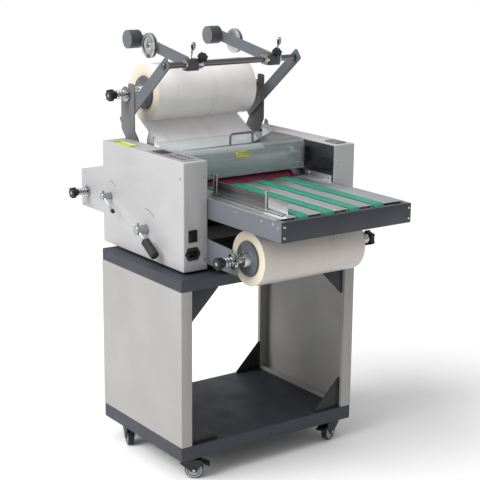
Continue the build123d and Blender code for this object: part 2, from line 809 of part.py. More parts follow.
# ------------------------------------------------------------------- uprights
upright_in = frame_half - upright_sheet
with BuildPart() as uprights:
    for side, sign in sides:
        near = frame_x(sign * upright_in)
        far = frame_x(sign * frame_half)
        shift = sign * upright_step
        with BuildSketch(Plane.XZ.offset(-upright_back)):
            with BuildLine():
                Polyline((near, upright_bottom), (near, step_low), (near + shift, step_high),
                         (near + shift, upright_top), (far + shift, upright_top),
                         (far + shift, step_high - 1), (far, step_low - 1), (far, upright_bottom),
                         close=True)
            make_face()
        extrude(amount=upright_back - upright_front)
    # The mandrel drops into a round seat between the tall finger and the horn.
    everywhere = (frame_x(-cover_half), frame_x(cover_half))
    seat_radius = shaft_radius + running_fit
    block(everywhere, (upper_film_y - seat_radius, upright_back + 1), (upper_film_z, upright_top + 1),
          Mode.SUBTRACT)
    block(everywhere, (upper_film_y, upright_back + 1), (upright_horn, upright_top + 1), Mode.SUBTRACT)
    rod(*everywhere, seat_radius, *upper_roll, Mode.SUBTRACT)
    block(everywhere, (upper_film_y + upright_finger, upright_back + 1), (upright_horn - 20, upright_top),
          Mode.SUBTRACT)
    tips = uprights.edges().filter_by(Axis.X).group_by(Axis.Z)[-1]
    fillet(tips, 7)
uprights.part.label = "uprights"
export_step(uprights.part, "parts/uprights.step")

# Flat arms carry the crossbar forward of the uprights on two screws each.
arm_foot = (299.6, machine_top + 50.5)
arm_angle = atan2(arm_foot[1] - bar_z, arm_foot[0] - bar_y)
arm_along = (cos(arm_angle), sin(arm_angle))
arm_across = (-sin(arm_angle), cos(arm_angle))
arm_start = -19


def on_arm(along, across):
    """A point on a diagonal arm, measured from the crossbar."""
    return (bar_y + along * arm_along[0] + across * arm_across[0],
            bar_z + along * arm_along[1] + across * arm_across[1])


with BuildPart() as diagonal_arms:
    for side, sign in sides:
        outer = frame_x(sign * (upright_in + upright_step))
        inner = frame_x(sign * (upright_in + upright_step - arm_sheet))
        side_plate([on_arm(arm_start, -arm_width / 2), on_arm(arm_reach, -arm_width / 2),
                    on_arm(arm_reach, arm_width / 2), on_arm(arm_start, arm_width / 2)], inner, outer, 6)
        rod(inner, outer, bar_radius, bar_y, bar_z, Mode.SUBTRACT)
diagonal_arms.part.label = "diagonal_arms"
export_step(diagonal_arms.part, "parts/diagonal_arms.step")

with BuildPart() as crossbar:
    rod(frame_x(-bar_half), frame_x(bar_half), bar_radius, bar_y, bar_z)
    chamfer(crossbar.edges().filter_by(GeomType.CIRCLE), 1.2)
crossbar.part.label = "crossbar"
export_step(crossbar.part, "parts/crossbar.step")

# ------------------------------------------------------------- film mandrels
knob_radius = 17
knob_head = 14
knob_neck = 10
spring_radius = 12.5
spring_wire = 1.3
spring_turns = 3
spring_seat = 3
thread_radius = 6
washer_radius = 21
knob_cap = 2
neck_radius = 11
grip_width = 13
grip_lobes = 5
collar_wall = 4
chuck_plug = 26
chuck_windows = 6
cap_gap = 1.2


def mandrel(roll, plate_out, right_end, spring_length, grip):
    """A shaft with two film chucks, a washer and the spring that brakes it.
    grip is the radius of the hand wheel at the right end, or 0 for a plain cap."""
    left_seat = -plate_out - cap_gap
    spring_from = left_seat - spring_seat - spring_length
    with BuildPart() as shaft:
        thread_end = spring_from - knob_neck - knob_head + knob_cap
        rod(frame_x(thread_end), frame_x(left_seat), thread_radius, *roll)
        rod(frame_x(left_seat), frame_x(right_end), shaft_radius, *roll)
        rod(frame_x(left_seat - spring_seat), frame_x(left_seat), washer_radius, *roll)
        for side, sign in sides:
            disc_at = sign * (film_half + chuck_gap)
            rod(frame_x(disc_at - sign * chuck_plug), frame_x(disc_at), core_inner - 0.6, *roll)
            rod(frame_x(disc_at), frame_x(disc_at + sign * chuck_disc), chuck_radius, *roll)
            rod(frame_x(disc_at + sign * chuck_disc), frame_x(disc_at + sign * (chuck_disc + hub_length)),
                hub_radius, *roll)
            hub_face = frame_x(disc_at + sign * (chuck_disc + hub_length))
            with BuildSketch(along_x(hub_face)):
                with Locations(roll):
                    with PolarLocations(hub_radius - 6, chuck_windows):
                        RectangleRounded(5, 8, 2)
            extrude(amount=-sign * (hub_length - 4), mode=Mode.SUBTRACT)
        rod(frame_x(plate_out + cap_gap), frame_x(right_end), shaft_radius + collar_wall, *roll)
        if grip:
            with BuildSketch(along_x(frame_x(right_end))):
                with Locations(roll):
                    Circle(grip * 0.8)
                    with PolarLocations(grip * 0.72, grip_lobes):
                        Circle(grip * 0.28)
            extrude(amount=grip_width)
    return shaft, spring_from, left_seat - spring_seat


def tension_knob(spring_from, roll):
    """The star knob that squeezes a mandrel's spring, bored for the thread."""
    with BuildPart() as knob:
        star_head(frame_x(spring_from - knob_neck - knob_head), frame_x(spring_from - knob_neck),
                  knob_radius, *roll)
        rod(frame_x(spring_from - knob_neck), frame_x(spring_from - seat_gap), neck_radius, *roll)
        rod(frame_x(spring_from - knob_neck - knob_head + knob_cap), frame_x(spring_from),
            thread_radius + running_fit, *roll, Mode.SUBTRACT)
    return knob


upper_plate_out = frame_half + upright_step
upper_mandrel, upper_spring, upper_seat = mandrel(upper_roll, upper_plate_out, upper_plate_out + 9, 30, 0)
with BuildPart() as upper_coil:
    coil(frame_x(upper_spring), frame_x(upper_seat), spring_radius, spring_wire, spring_turns, *upper_roll)
with BuildPart() as upper_shaft:
    add(upper_mandrel.part)
    add(upper_coil.part)
upper_shaft.part.label = "upper_mandrel"
export_step(upper_shaft.part, "parts/upper_mandrel.step")

upper_tension_knob = tension_knob(upper_spring, upper_roll)
upper_tension_knob.part.label = "upper_tension_knob"
export_step(upper_tension_knob.part, "parts/upper_tension_knob.step")

lower_mandrel, lower_spring, lower_seat = mandrel(lower_roll, frame_half, frame_half + 22, 26, 22)
with BuildPart() as lower_coil:
    coil(frame_x(lower_spring), frame_x(lower_seat), spring_radius, spring_wire, spring_turns, *lower_roll)
with BuildPart() as lower_shaft:
    add(lower_mandrel.part)
    add(lower_coil.part)
lower_shaft.part.label = "lower_mandrel"
export_step(lower_shaft.part, "parts/lower_mandrel.step")

lower_tension_knob = tension_knob(lower_spring, lower_roll)
lower_tension_knob.part.label = "lower_tension_knob"
export_step(lower_tension_knob.part, "parts/lower_tension_knob.step")

winding_gap = 0.1


def film_roll(roll, film_radius):
    """Film wound on a cardboard core: two tubes, one in the other."""
    with BuildPart() as wound:
        rod(frame_x(-film_half), frame_x(film_half), film_radius, *roll)
        rod(frame_x(-film_half), frame_x(film_half), core_outer + winding_gap, *roll, Mode.SUBTRACT)
        rod(frame_x(-film_half), frame_x(film_half), core_outer, *roll)
        rod(frame_x(-film_half), frame_x(film_half), core_inner, *roll, Mode.SUBTRACT)
    return wound


upper_film_roll = film_roll(upper_roll, upper_film_radius)
upper_film_roll.part.label = "upper_film_roll"
export_step(upper_film_roll.part, "parts/upper_film_roll.step")

lower_film_roll = film_roll(lower_roll, lower_film_radius)
lower_film_roll.part.label = "lower_film_roll"
export_step(lower_film_roll.part, "parts/lower_film_roll.step")

# Brackets for the lower mandrel reach forward under the table.
bracket_sheet = 4
bracket_slot = 40
bracket_outline = ((-62, 17), (-62, 93), (-118, 82), (-246, 75), (-254, 67), (-254, 23),
                   (-244, 13), (-178, 13))
with BuildPart() as lower_brackets:
    for side, sign in sides:
        side_plate([(y, machine_bottom + rise) for y, rise in bracket_outline],
                   frame_x(sign * (frame_half - bracket_sheet)), frame_x(sign * frame_half), 4)
    everywhere = (frame_x(-cover_half), frame_x(cover_half))
    rod(*everywhere, seat_radius, *lower_roll, Mode.SUBTRACT)
    block(everywhere, (lower_film_y - seat_radius, lower_film_y + seat_radius),
          (lower_film_z, lower_film_z + bracket_slot), Mode.SUBTRACT)
lower_brackets.part.label = "lower_brackets"
export_step(lower_brackets.part, "parts/lower_brackets.step")

# The rewind shaft runs between the two cover tongues at the back.
rewind_roll = (rewind_y, rewind_z)
rewind_seat = -cover_half - 1
rewind_spring = 30
rewind_washer = 15
rewind_disc = 30
rewind_disc_sheet = 4
rewind_thread = rewind_radius - 2
rewind_coil = 9.5
rewind_neck = 8
rewind_head = 13
rewind_neck_end = rewind_seat - rewind_spring - spring_wire - seat_gap
with BuildPart() as rewind_shaft:
    washer_face = rewind_seat - spring_seat
    rod(frame_x(rewind_seat), frame_x(cover_half + 1), rewind_radius, *rewind_roll)
    rod(frame_x(washer_face), frame_x(rewind_seat), rewind_washer, *rewind_roll)
    rod(frame_x(rewind_neck_end - rewind_neck - knob_cap), frame_x(washer_face), rewind_thread, *rewind_roll)
    coil(frame_x(rewind_seat - rewind_spring), frame_x(washer_face), rewind_coil, spring_wire,
         spring_turns + 1, *rewind_roll)
    for side, sign in sides:
        disc_at = sign * film_half
        rod(frame_x(disc_at), frame_x(disc_at + sign * rewind_disc_sheet), rewind_disc, *rewind_roll)
rewind_shaft.part.label = "rewind_shaft"
export_step(rewind_shaft.part, "parts/rewind_shaft.step")

with BuildPart() as rewind_knob:
    star_head(frame_x(rewind_neck_end - rewind_neck - rewind_head), frame_x(rewind_neck_end - rewind_neck),
              knob_radius - 1, *rewind_roll)
    rod(frame_x(rewind_neck_end - rewind_neck), frame_x(rewind_neck_end), rewind_coil - 0.5, *rewind_roll)
    rod(frame_x(rewind_neck_end - rewind_neck - knob_cap - 1), frame_x(rewind_neck_end),
        rewind_thread + running_fit, *rewind_roll, Mode.SUBTRACT)
rewind_knob.part.label = "rewind_knob"
export_step(rewind_knob.part, "parts/rewind_knob.step")

# ---------------------------------------------------------------- feed table
rail_low = table_top - table_height
rail_back = 10
rail_lip = 14
rail_inner = table_half - rail_lip
beam_inner = rail_inner - 1
beam_top_flange = 12
belt_roller_z = deck_top + belt_proud - belt_sheet - loop_gap - belt_roller_radius
belt_journal = 5
belt_shaft = 6
with BuildPart() as table_rails:
    for side, sign in sides:
        outer = frame_x(sign * table_half)
        inner = frame_x(sign * rail_inner)
        y_span = (table_front + table_sheet, rail_back)
        block((outer, inner), y_span, (rail_low, table_top))
        block((outer - sign * table_sheet, inner), y_span, (rail_low + table_sheet, table_top - table_sheet),
              Mode.SUBTRACT)
        rod(outer, inner, belt_journal + running_fit, belt_roller_y, belt_roller_z, Mode.SUBTRACT)
table_rails.part.label = "table_rails"
export_step(table_rails.part, "parts/table_rails.step")

with BuildPart() as table_front_beam:
    block((frame_x(-table_half), frame_x(table_half)), (table_front, table_front + table_sheet),
          (rail_low, table_top))
    for low, flange in ((rail_low, table_flange), (table_top - table_sheet, beam_top_flange)):
        block((frame_x(-beam_inner), frame_x(beam_inner)), (table_front, table_front + flange),
              (low, low + table_sheet))
table_front_beam.part.label = "table_front_beam"
export_step(table_front_beam.part, "parts/table_front_beam.step")

belt_spots = [frame_x(belt_pitch * (n - 1.5)) for n in range(4)]
with BuildPart() as belt_roller:
    rod(frame_x(-rail_inner), frame_x(rail_inner), belt_shaft, belt_roller_y, belt_roller_z)
    rod(frame_x(-table_half), frame_x(table_half), belt_journal, belt_roller_y, belt_roller_z)
    for spot in belt_spots:
        rod(spot - belt_width / 2, spot + belt_width / 2, belt_roller_radius, belt_roller_y, belt_roller_z)
belt_roller.part.label = "belt_roller"
export_step(belt_roller.part, "parts/belt_roller.step")

# Five deck strips fill the spaces beside the four belts and stand on cross members.
# The belts' back ends run over a fixed nose bar, close to the nip.
strip_sheet = 1.5
strip_skirt = 12
skirt_front = deck_front + 24
cross_low = rail_low + table_sheet + 0.5
cross_high = cross_low + 14
cross_width = 20
cross_spots = (-330, -70)
post_half = 8
nose_y = deck_back - belt_nose_radius - 1
nose_z = deck_top + belt_proud - belt_sheet - loop_gap - belt_nose_radius
angle_front = machine_front + 8
angle_height = 15
angle_width = 22
slot_edge = belt_width / 2 + belt_gap
strip_edges = [frame_x(-table_half + table_sheet)]
for spot in belt_spots:
    strip_edges += [spot - slot_edge, spot + slot_edge]
strip_edges.append(frame_x(table_half - table_sheet))
with BuildPart() as feed_deck:
    for left, right in zip(strip_edges[::2], strip_edges[1::2]):
        post_x = ((left + right) / 2 - post_half, (left + right) / 2 + post_half)
        block((left, right), (deck_front, deck_back), (deck_top - strip_sheet, deck_top))
        for edge, inward in ((left, 1), (right, -1)):
            if abs(edge - machine_x) < rail_inner:
                block((edge, edge + inward * strip_sheet), (skirt_front, nose_y - belt_nose_radius - 2),
                      (deck_top - strip_skirt, deck_top))
        for y in cross_spots:
            block(post_x, (y, y + cross_width), (cross_high, deck_top - strip_sheet))
        block(post_x, (nose_y - 4, nose_y + 4), (nose_z, deck_top - strip_sheet))
    for y in cross_spots:
        block((frame_x(-table_half + table_sheet), frame_x(table_half - table_sheet)), (y, y + cross_width),
              (cross_low, cross_high))
    rod(frame_x(-rail_inner), frame_x(rail_inner), belt_nose_radius, nose_y, nose_z)
    # Angle strips close the deck against the side frames.
    for side, sign in sides:
        wall = frame_x(sign * (frame_half - 0.2))
        y_span = (angle_front, deck_back)
        block((wall, wall - sign * strip_sheet), y_span, (deck_top, deck_top + angle_height))
        block((wall, wall - sign * angle_width), y_span, (deck_top, deck_top + strip_sheet))
feed_deck.part.label = "feed_deck"
export_step(feed_deck.part, "parts/feed_deck.step")


def belt_outline(grow):
    """A belt's side view: both pulleys' circles grown by grow and wrapped."""
    front_run = tangent((belt_roller_y, belt_roller_z), -belt_roller_radius - grow,
                        (nose_y, nose_z), -belt_nose_radius - grow)
    back_run = tangent((nose_y, nose_z), -belt_nose_radius - grow,
                       (belt_roller_y, belt_roller_z), -belt_roller_radius - grow)
    Line(*front_run)
    ThreePointArc(front_run[1], (nose_y + belt_nose_radius + grow, nose_z), back_run[0])
    Line(*back_run)
    ThreePointArc(back_run[1], (belt_roller_y - belt_roller_radius - grow, belt_roller_z), front_run[0])


with BuildPart() as feed_belts:
    for spot in belt_spots:
        with BuildSketch(along_x(spot - belt_width / 2)):
            with BuildLine():
                belt_outline(loop_gap + belt_sheet)
            make_face()
            with BuildLine():
                belt_outline(loop_gap)
            make_face(mode=Mode.SUBTRACT)
        extrude(amount=belt_width)
feed_belts.part.label = "feed_belts"
export_step(feed_belts.part, "parts/feed_belts.step")

# The side fence stands on the deck and slides across it.
fence_low = deck_top + belt_proud + seat_gap
fence_height = 35
fence_high = fence_low + fence_height
fence_sheet = 1.5
fence_foot = 9
fence_front = -392
fence_back = -72
fence_joint = -302
fence_lap = 2
fence_x = frame_x(-fence_offset)
post_cap = 6
post_cap_rim = 1.6
fence_posts = ((fence_joint - 3, 4, 15), (fence_back + 3, 3, 18), (fence_back - 12, 3, 18))
with BuildPart() as side_fence:
    block((fence_x, fence_x + fence_sheet), (fence_joint, fence_back), (fence_low, fence_high))
    block((fence_x + fence_lap, fence_x + fence_lap + fence_sheet), (fence_front, fence_joint),
          (fence_low, fence_high - fence_lap))
    block((fence_x - fence_foot, fence_x), (fence_front + fence_foot, fence_back),
          (fence_low, fence_low + fence_sheet))
    for y, radius, rise in fence_posts:
        post_top = fence_high + rise
        with BuildSketch(Plane.XY.offset(fence_low)):
            with Locations((fence_x + 1, y)):
                Circle(radius)
        extrude(amount=post_top - post_cap - fence_low)
        with BuildSketch(Plane.XY.offset(post_top - post_cap)):
            with Locations((fence_x + 1, y)):
                Circle(radius + post_cap_rim)
        extrude(amount=post_cap)
side_fence.part.label = "side_fence"
export_step(side_fence.part, "parts/side_fence.step")

# --------------------------------------------------------------- safety cover
pane_y = 14
pane_low = deck_top + 20.5
pane_high = machine_top + 2.5
pane_sheet = 3
pane_half = frame_half - 8
pane_back = 176
pane_bend = 10
pane_lip = 6
pane_notch = 158
pivot_y = 185
pivot_z = machine_top + 12.5
pin_radius = 3
ear_sheet = 4
ear_half = frame_half - 17
end_block = 8
handle_half = 37.5
handle_rise = 30
handle_y = 33
handle_rod = 3
hinge_sheet = 2.5
hinge_in = frame_half - 14
hinge_low = machine_top - 17.5
with BuildPart() as pane:
    with BuildSketch(along_x(frame_x(-pane_half))):
        with BuildLine():
            FilletPolyline((pane_y + pane_lip, pane_low), (pane_y, pane_low + 1), (pane_y, pane_high),
                           (pane_back, pane_high), radius=[2, pane_bend])
        trace(line_width=pane_sheet)
    extrude(amount=2 * pane_half)
    for side, sign in sides:
        near = frame_x(sign * (ear_half - ear_sheet))
        far = frame_x(sign * ear_half)
        edge = frame_x(sign * pane_half)
        # The back corners are cut away so that the cover swings past its brackets.
        block((far, edge + sign), (pane_notch, pane_back + pane_sheet),
              (pane_high - pane_sheet, pane_high + pane_sheet), Mode.SUBTRACT)
        side_plate([(pivot_y - 35, pane_high), (pivot_y - 12, pane_high), (pivot_y + 9, pivot_z - 7),
                    (pivot_y + 9, pivot_z + 7), (pivot_y - 5, pivot_z + 8), (pivot_y - 27, pane_high + 4)],
                   near, far)
        rod(near, far, pin_radius + running_fit, pivot_y, pivot_z, Mode.SUBTRACT)
        # A stiffening block stands on each end of the pane.
        block((edge - sign * end_block, edge), (pane_y - pane_sheet / 2 - 3, pane_y),
              (pane_low + 22, pane_high - 18))
with BuildPart() as handle:
    foot_z = pane_high + pane_sheet / 2 - 1
    top_z = foot_z + handle_rise
    with BuildLine() as handle_path:
        FilletPolyline((frame_x(-handle_half), handle_y, foot_z), (frame_x(-handle_half), handle_y, top_z),
                       (frame_x(handle_half), handle_y, top_z), (frame_x(handle_half), handle_y, foot_z),
                       radius=8)
    with BuildSketch(Plane(origin=handle_path.line @ 0, z_dir=(0, 0, 1))):
        Circle(handle_rod)
    sweep()
with BuildPart() as safety_cover:
    add(pane.part)
    add(handle.part)
safety_cover.part.label = "safety_cover"
export_step(safety_cover.part, "parts/safety_cover.step")

# Each hinge bracket stands on a side frame and carries a pin for the cover.
with BuildPart() as cover_hinges:
    for side, sign in sides:
        near = frame_x(sign * hinge_in)
        far = frame_x(sign * (hinge_in + hinge_sheet))
        side_plate([(pivot_y - 19, hinge_low), (pivot_y + 21, hinge_low), (pivot_y + 21, pivot_z - 4),
                    (pivot_y + 8, pivot_z + 25), (pivot_y - 4, pivot_z + 21), (pivot_y - 13, pivot_z - 4)],
                   near, far)
        block((near, frame_x(sign * frame_half)), (pivot_y - 17, pivot_y + 19),
              (hinge_low, hinge_low + hinge_sheet))
        rod(far, frame_x(sign * (ear_half - ear_sheet - 1)), pin_radius, pivot_y, pivot_z)
cover_hinges.part.label = "cover_hinges"
export_step(cover_hinges.part, "parts/cover_hinges.step")

# ----------------------------------------------------------------- perforators
clamp_x = 136
clamp_half = 17
clamp_front = 14
clamp_back = 16
clamp_low = 17
clamp_high = 15
swing_tilt = 9.7
swing_width = 31
swing_sheet = 4
swing_start = 8
swing_tail = 12
wheel_reach = 200
wheel_pin = 4
wheel_cap = 6
weight_reach = 274
weight_radius = 26
weight_length = 37
perforator_radius = 35
perforator_width = 12
perforator_groove = 4
perforator_rim = 3
perforator_hub = 7
lug_rise = 48
lug_lean = 10
lug_ring = 8
lug_wire = 3
lug_facing = (0.6, -0.8, 0)
lug_offset = {"left": -2, "right": 13}
knob_stem = 5
knob_lift = 8


def on_swing(along, across=0):
    """A point on a perforator's arm, measured from the crossbar."""
    tilt = radians(swing_tilt)
    return (bar_y + along * cos(tilt) - across * sin(tilt), bar_z + along * sin(tilt) + across * cos(tilt))


def lock_knob(x):
    """A small star knob whose stem points forwards and up from the crossbar."""
    knob_plane = Plane(origin=(x, bar_y - knob_lift, bar_z + knob_lift), z_dir=(0, -1, 1))
    with BuildSketch(knob_plane) as stem:
        Circle(knob_stem)
    extrude(stem.sketch, amount=12)
    with BuildSketch(knob_plane.offset(10)) as head:
        Circle(12)
        with PolarLocations(10.6, 7):
            Circle(3.4)
    extrude(head.sketch, amount=11)


for side, sign in sides:
    middle = frame_x(sign * clamp_x)
    arm_left = middle - swing_sheet / 2
    arm_right = middle + swing_sheet / 2
    wheel_near = (arm_right if sign > 0 else arm_left) + sign
    wheel_far = wheel_near + sign * perforator_width
    hub = on_swing(wheel_reach)
    with BuildPart() as perforator_arm:
        block((middle - clamp_half, middle + clamp_half), (bar_y - clamp_front, bar_y + clamp_back),
              (bar_z - clamp_low, bar_z + clamp_high))
        fillet(perforator_arm.edges().filter_by(Axis.X), 3)
        arm_end = weight_reach + swing_tail
        side_plate([on_swing(swing_start, -swing_width / 2), on_swing(arm_end, -swing_width / 2),
                    on_swing(arm_end, swing_width / 2), on_swing(swing_start, swing_width / 2)],
                   arm_left, arm_right)
        rod(arm_left, arm_left - weight_length, weight_radius, *on_swing(weight_reach))
        rod(middle, wheel_far + sign * 2, wheel_pin, *hub)
        rod(wheel_far + sign * seat_gap, wheel_far + sign * 2, wheel_cap, *hub)
        if sign > 0:
            lock_knob(middle + 2)
        rod(middle - clamp_half, middle + clamp_half, bar_radius + running_fit, bar_y, bar_z, Mode.SUBTRACT)
        # A ring on a leaning stem lifts the arm off the film.
        lug_from = (middle + lug_offset[side], bar_y, bar_z + clamp_high - 2)
        lug_to = (lug_from[0] + lug_lean, bar_y, bar_z + lug_rise)
        lug_run = Vector(*lug_to) - Vector(*lug_from)
        with BuildSketch(Plane(origin=lug_from, z_dir=lug_run)):
            Circle(lug_wire)
        extrude(amount=lug_run.length - lug_ring)
        with BuildSketch(Plane(origin=lug_to, z_dir=lug_facing).offset(-lug_wire)):
            Circle(lug_ring + lug_wire)
            Circle(lug_ring - lug_wire, mode=Mode.SUBTRACT)
        extrude(amount=2 * lug_wire)
    perforator_arm.part.label = f"{side}_perforator_arm"
    export_step(perforator_arm.part, f"parts/{side}_perforator_arm.step")

    with BuildPart() as perforating_wheel:
        rod(wheel_near, wheel_far, perforator_radius - perforator_groove, *hub)
        for offset in (0, perforator_width - perforator_rim):
            rim_at = wheel_near + sign * offset
            rod(rim_at, rim_at + sign * perforator_rim, perforator_radius, *hub)
        rod(wheel_far, wheel_far - sign * perforator_rim, perforator_radius - 9, *hub, Mode.SUBTRACT)
        rod(wheel_far, wheel_far - sign * (perforator_rim + 1), perforator_hub, *hub)
        rod(wheel_near, wheel_far, wheel_pin + running_fit, *hub, Mode.SUBTRACT)
    perforating_wheel.part.label = f"{side}_perforating_wheel"
    export_step(perforating_wheel.part, f"parts/{side}_perforating_wheel.step")

# Collars on the crossbar keep each perforator in its place.
collar_radius = 14
collar_gap = 0.4
inner_collar = 16
outer_collar = 6
with BuildPart() as perforator_collars:
    for side, sign in sides:
        for edge, way, length in ((clamp_x - clamp_half - collar_gap, -1, inner_collar),
                                  (clamp_x + clamp_half + collar_gap, 1, outer_collar)):
            rod(frame_x(sign * edge), frame_x(sign * (edge + way * length)), collar_radius, bar_y, bar_z)
        if sign < 0:
            lock_knob(frame_x(-clamp_x + clamp_half + collar_gap + inner_collar / 2))
    rod(frame_x(-bar_half), frame_x(bar_half), bar_radius, bar_y, bar_z, Mode.SUBTRACT)
perforator_collars.part.label = "perforator_collars"
export_step(perforator_collars.part, "parts/perforator_collars.step")

# --------------------------------------------------------------------- levers
lever_slope = 31.6
lever_shaft = 6
set_screw_radius = 3.2
set_screw_rise = 7


def side_lever(pivot, boss_radius, boss_length, rod_radius, reach, grip_radius, grip_length):
    """A lever on a turned boss that comes out of the left cover."""
    face = -cover_half - 0.5
    lever_x = frame_x(face - boss_length + boss_radius * 0.7)
    slope = radians(lever_slope)
    stem = Plane(origin=(lever_x, *pivot), z_dir=(0, -cos(slope), -sin(slope)))
    with BuildPart() as lever:
        rod(frame_x(face), frame_x(face - boss_length), boss_radius, *pivot)
        fillet(lever.edges().filter_by(GeomType.CIRCLE).sort_by(Axis.X)[0], 2)
        rod(frame_x(face), frame_x(-frame_half - frame_sheet - 1), lever_shaft, *pivot)
        with BuildSketch(stem):
            Circle(rod_radius)
        extrude(amount=reach)
        with BuildSketch(stem.offset(reach - grip_length)):
            Circle(grip_radius)
        extrude(amount=grip_length)
        grip_rims = lever.edges().filter_by(
            lambda edge: edge.geom_type == GeomType.CIRCLE and abs(edge.radius - grip_radius) < 0.01)
        fillet(grip_rims, grip_radius * 0.45)
        with BuildSketch(Plane(origin=(lever_x, *pivot), z_dir=(0, 0, 1))):
            Circle(set_screw_radius)
        extrude(amount=boss_radius + set_screw_rise)
    return lever


pressure_lever = side_lever((pressure_y, pressure_z), lever_boss, 34, 4, 103, 12.5, 62)
pressure_lever.part.label = "pressure_lever"
export_step(pressure_lever.part, "parts/pressure_lever.step")

pull_lever = side_lever((pull_lever_y, pull_lever_z), pull_boss, 30, 2.5, 66, 5.5, 11)
pull_lever.part.label = "pull_lever"
export_step(pull_lever.part, "parts/pull_lever.step")

# -------------------------------------------------------------------- screws
screw_radius = 3.6
screw_head = 2
screw_taper = 22
front_screws = (machine_bottom + 28, machine_top - 42.5)
tongue_screws = ((-97, machine_top - 42.5), (tongue_back - 23, tongue_top_back - 5),
                 (tongue_back - 12, tongue_low + 6))
rail_screws = ((-242, table_top - 10), (-351, table_top - 11), (-420, table_top - 16))
step_screws = ((291.6, machine_top + 56.5), (247.6, machine_top + 91.5))
foot_screws = ((245, machine_top - 13.5), (293, machine_top - 13.5))
screw_spots = []
for side, sign in sides:
    front_x = frame_x(sign * (frame_half + 9))
    cover_x = frame_x(sign * cover_half)
    rail_x = frame_x(sign * table_half)
    beam_x = frame_x(sign * (table_half - 8))
    arm_x = frame_x(sign * (upright_in + upright_step - arm_sheet))
    foot_x = frame_x(sign * upright_in)
    angle_x = frame_x(sign * (frame_half - 0.2 - strip_sheet))
    screw_spots += [((front_x, machine_front, z), (0, -1, 0)) for z in front_screws]
    screw_spots += [((cover_x, y, z), (sign, 0, 0)) for y, z in tongue_screws]
    screw_spots += [((rail_x, y, z), (sign, 0, 0)) for y, z in rail_screws]
    screw_spots += [((beam_x, table_front, z), (0, -1, 0)) for z in (rail_low + 12, table_top - 12)]
    screw_spots += [((arm_x, y, z), (-sign, 0, 0)) for y, z in step_screws]
    screw_spots += [((foot_x, y, z), (-sign, 0, 0)) for y, z in foot_screws]
    screw_spots += [((angle_x, y, deck_top + 9), (-sign, 0, 0)) for y in (angle_front + 9, deck_back - 12)]
with BuildPart() as machine_screws:
    for spot, direction in screw_spots:
        with BuildSketch(Plane(origin=spot, z_dir=direction)):
            Circle(screw_radius)
        extrude(amount=screw_head, taper=screw_taper)
machine_screws.part.label = "machine_screws"
export_step(machine_screws.part, "parts/machine_screws.step")
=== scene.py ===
import json
import math

import bpy
from mathutils import Matrix, Vector


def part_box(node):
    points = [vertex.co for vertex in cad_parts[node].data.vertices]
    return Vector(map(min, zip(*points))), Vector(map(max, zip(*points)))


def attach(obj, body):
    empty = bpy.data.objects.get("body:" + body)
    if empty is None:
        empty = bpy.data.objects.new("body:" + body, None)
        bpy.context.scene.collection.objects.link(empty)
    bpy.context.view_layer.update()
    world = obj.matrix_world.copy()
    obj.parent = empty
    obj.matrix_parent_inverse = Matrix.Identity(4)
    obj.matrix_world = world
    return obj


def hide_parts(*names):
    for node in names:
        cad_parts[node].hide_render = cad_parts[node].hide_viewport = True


# The looks of a roll laminator on its cart.  Every length is in metres.
MM = 0.001
smooth_angle = math.radians(32)
flat_angle = math.radians(0.5)
weld_gap = 0.01 * MM
tone_low = 0.3
tone_high = 0.7

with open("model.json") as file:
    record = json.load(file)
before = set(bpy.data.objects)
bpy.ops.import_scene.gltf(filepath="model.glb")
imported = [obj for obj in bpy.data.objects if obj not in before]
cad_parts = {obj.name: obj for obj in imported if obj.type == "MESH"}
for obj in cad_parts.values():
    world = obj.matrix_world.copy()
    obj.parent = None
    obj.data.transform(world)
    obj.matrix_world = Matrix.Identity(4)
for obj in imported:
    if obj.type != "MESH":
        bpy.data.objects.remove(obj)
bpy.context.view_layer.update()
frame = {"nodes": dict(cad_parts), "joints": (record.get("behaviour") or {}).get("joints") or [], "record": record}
body_of = {node: body for body, members in frame["record"]["behaviour"]["bodies"].items() for node in members}
joints = {joint["name"]: joint for joint in frame["joints"]}
sides = ("left", "right")


# ------------------------------------------------------------------- helpers
def pivot(joint):
    """The place that a joint turns about."""
    return Vector(joints[joint]["pos_m"])


def middle(node):
    low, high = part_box(node)
    return (low + high) / 2


def only(piece):
    """Makes one object the selected and active one."""
    bpy.ops.object.select_all(action="DESELECT")
    piece.select_set(True)
    bpy.context.view_layer.objects.active = piece


def finish_piece(piece, name, material, body):
    """Names a new piece, gives it a finish and lets it ride on a body."""
    only(piece)
    bpy.ops.object.transform_apply(location=True, rotation=True, scale=True)
    piece.name = name
    piece.data.name = name
    piece.data.materials.clear()
    piece.data.materials.append(material)
    bpy.ops.object.shade_smooth_by_angle(angle=smooth_angle)
    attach(piece, body)
    return piece


def round_edges(piece, width, segments=2, limit=35):
    only(piece)
    bevel = piece.modifiers.new("ease", "BEVEL")
    bevel.width = width
    bevel.segments = segments
    bevel.limit_method = "ANGLE"
    bevel.angle_limit = math.radians(limit)
    bpy.ops.object.modifier_apply(modifier="ease")


def finished(node, material, width=0.5 * MM, segments=2):
    """A copy of a CAD node with its edges eased, which stands for that node."""
    piece = bpy.data.objects.new(node + "_finished", frame["nodes"][node].data.copy())
    bpy.context.scene.collection.objects.link(piece)
    only(piece)
    if piece.data.has_custom_normals:
        bpy.ops.mesh.customdata_custom_splitnormals_clear()
    bpy.ops.object.mode_set(mode="EDIT")
    bpy.ops.mesh.select_all(action="SELECT")
    bpy.ops.mesh.remove_doubles(threshold=weld_gap)
    bpy.ops.mesh.dissolve_limited(angle_limit=flat_angle)
    bpy.ops.object.mode_set(mode="OBJECT")
    if width:
        round_edges(piece, width, segments)
    finish_piece(piece, node + "_finished", material, body_of[node])
    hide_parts(node)
    return piece


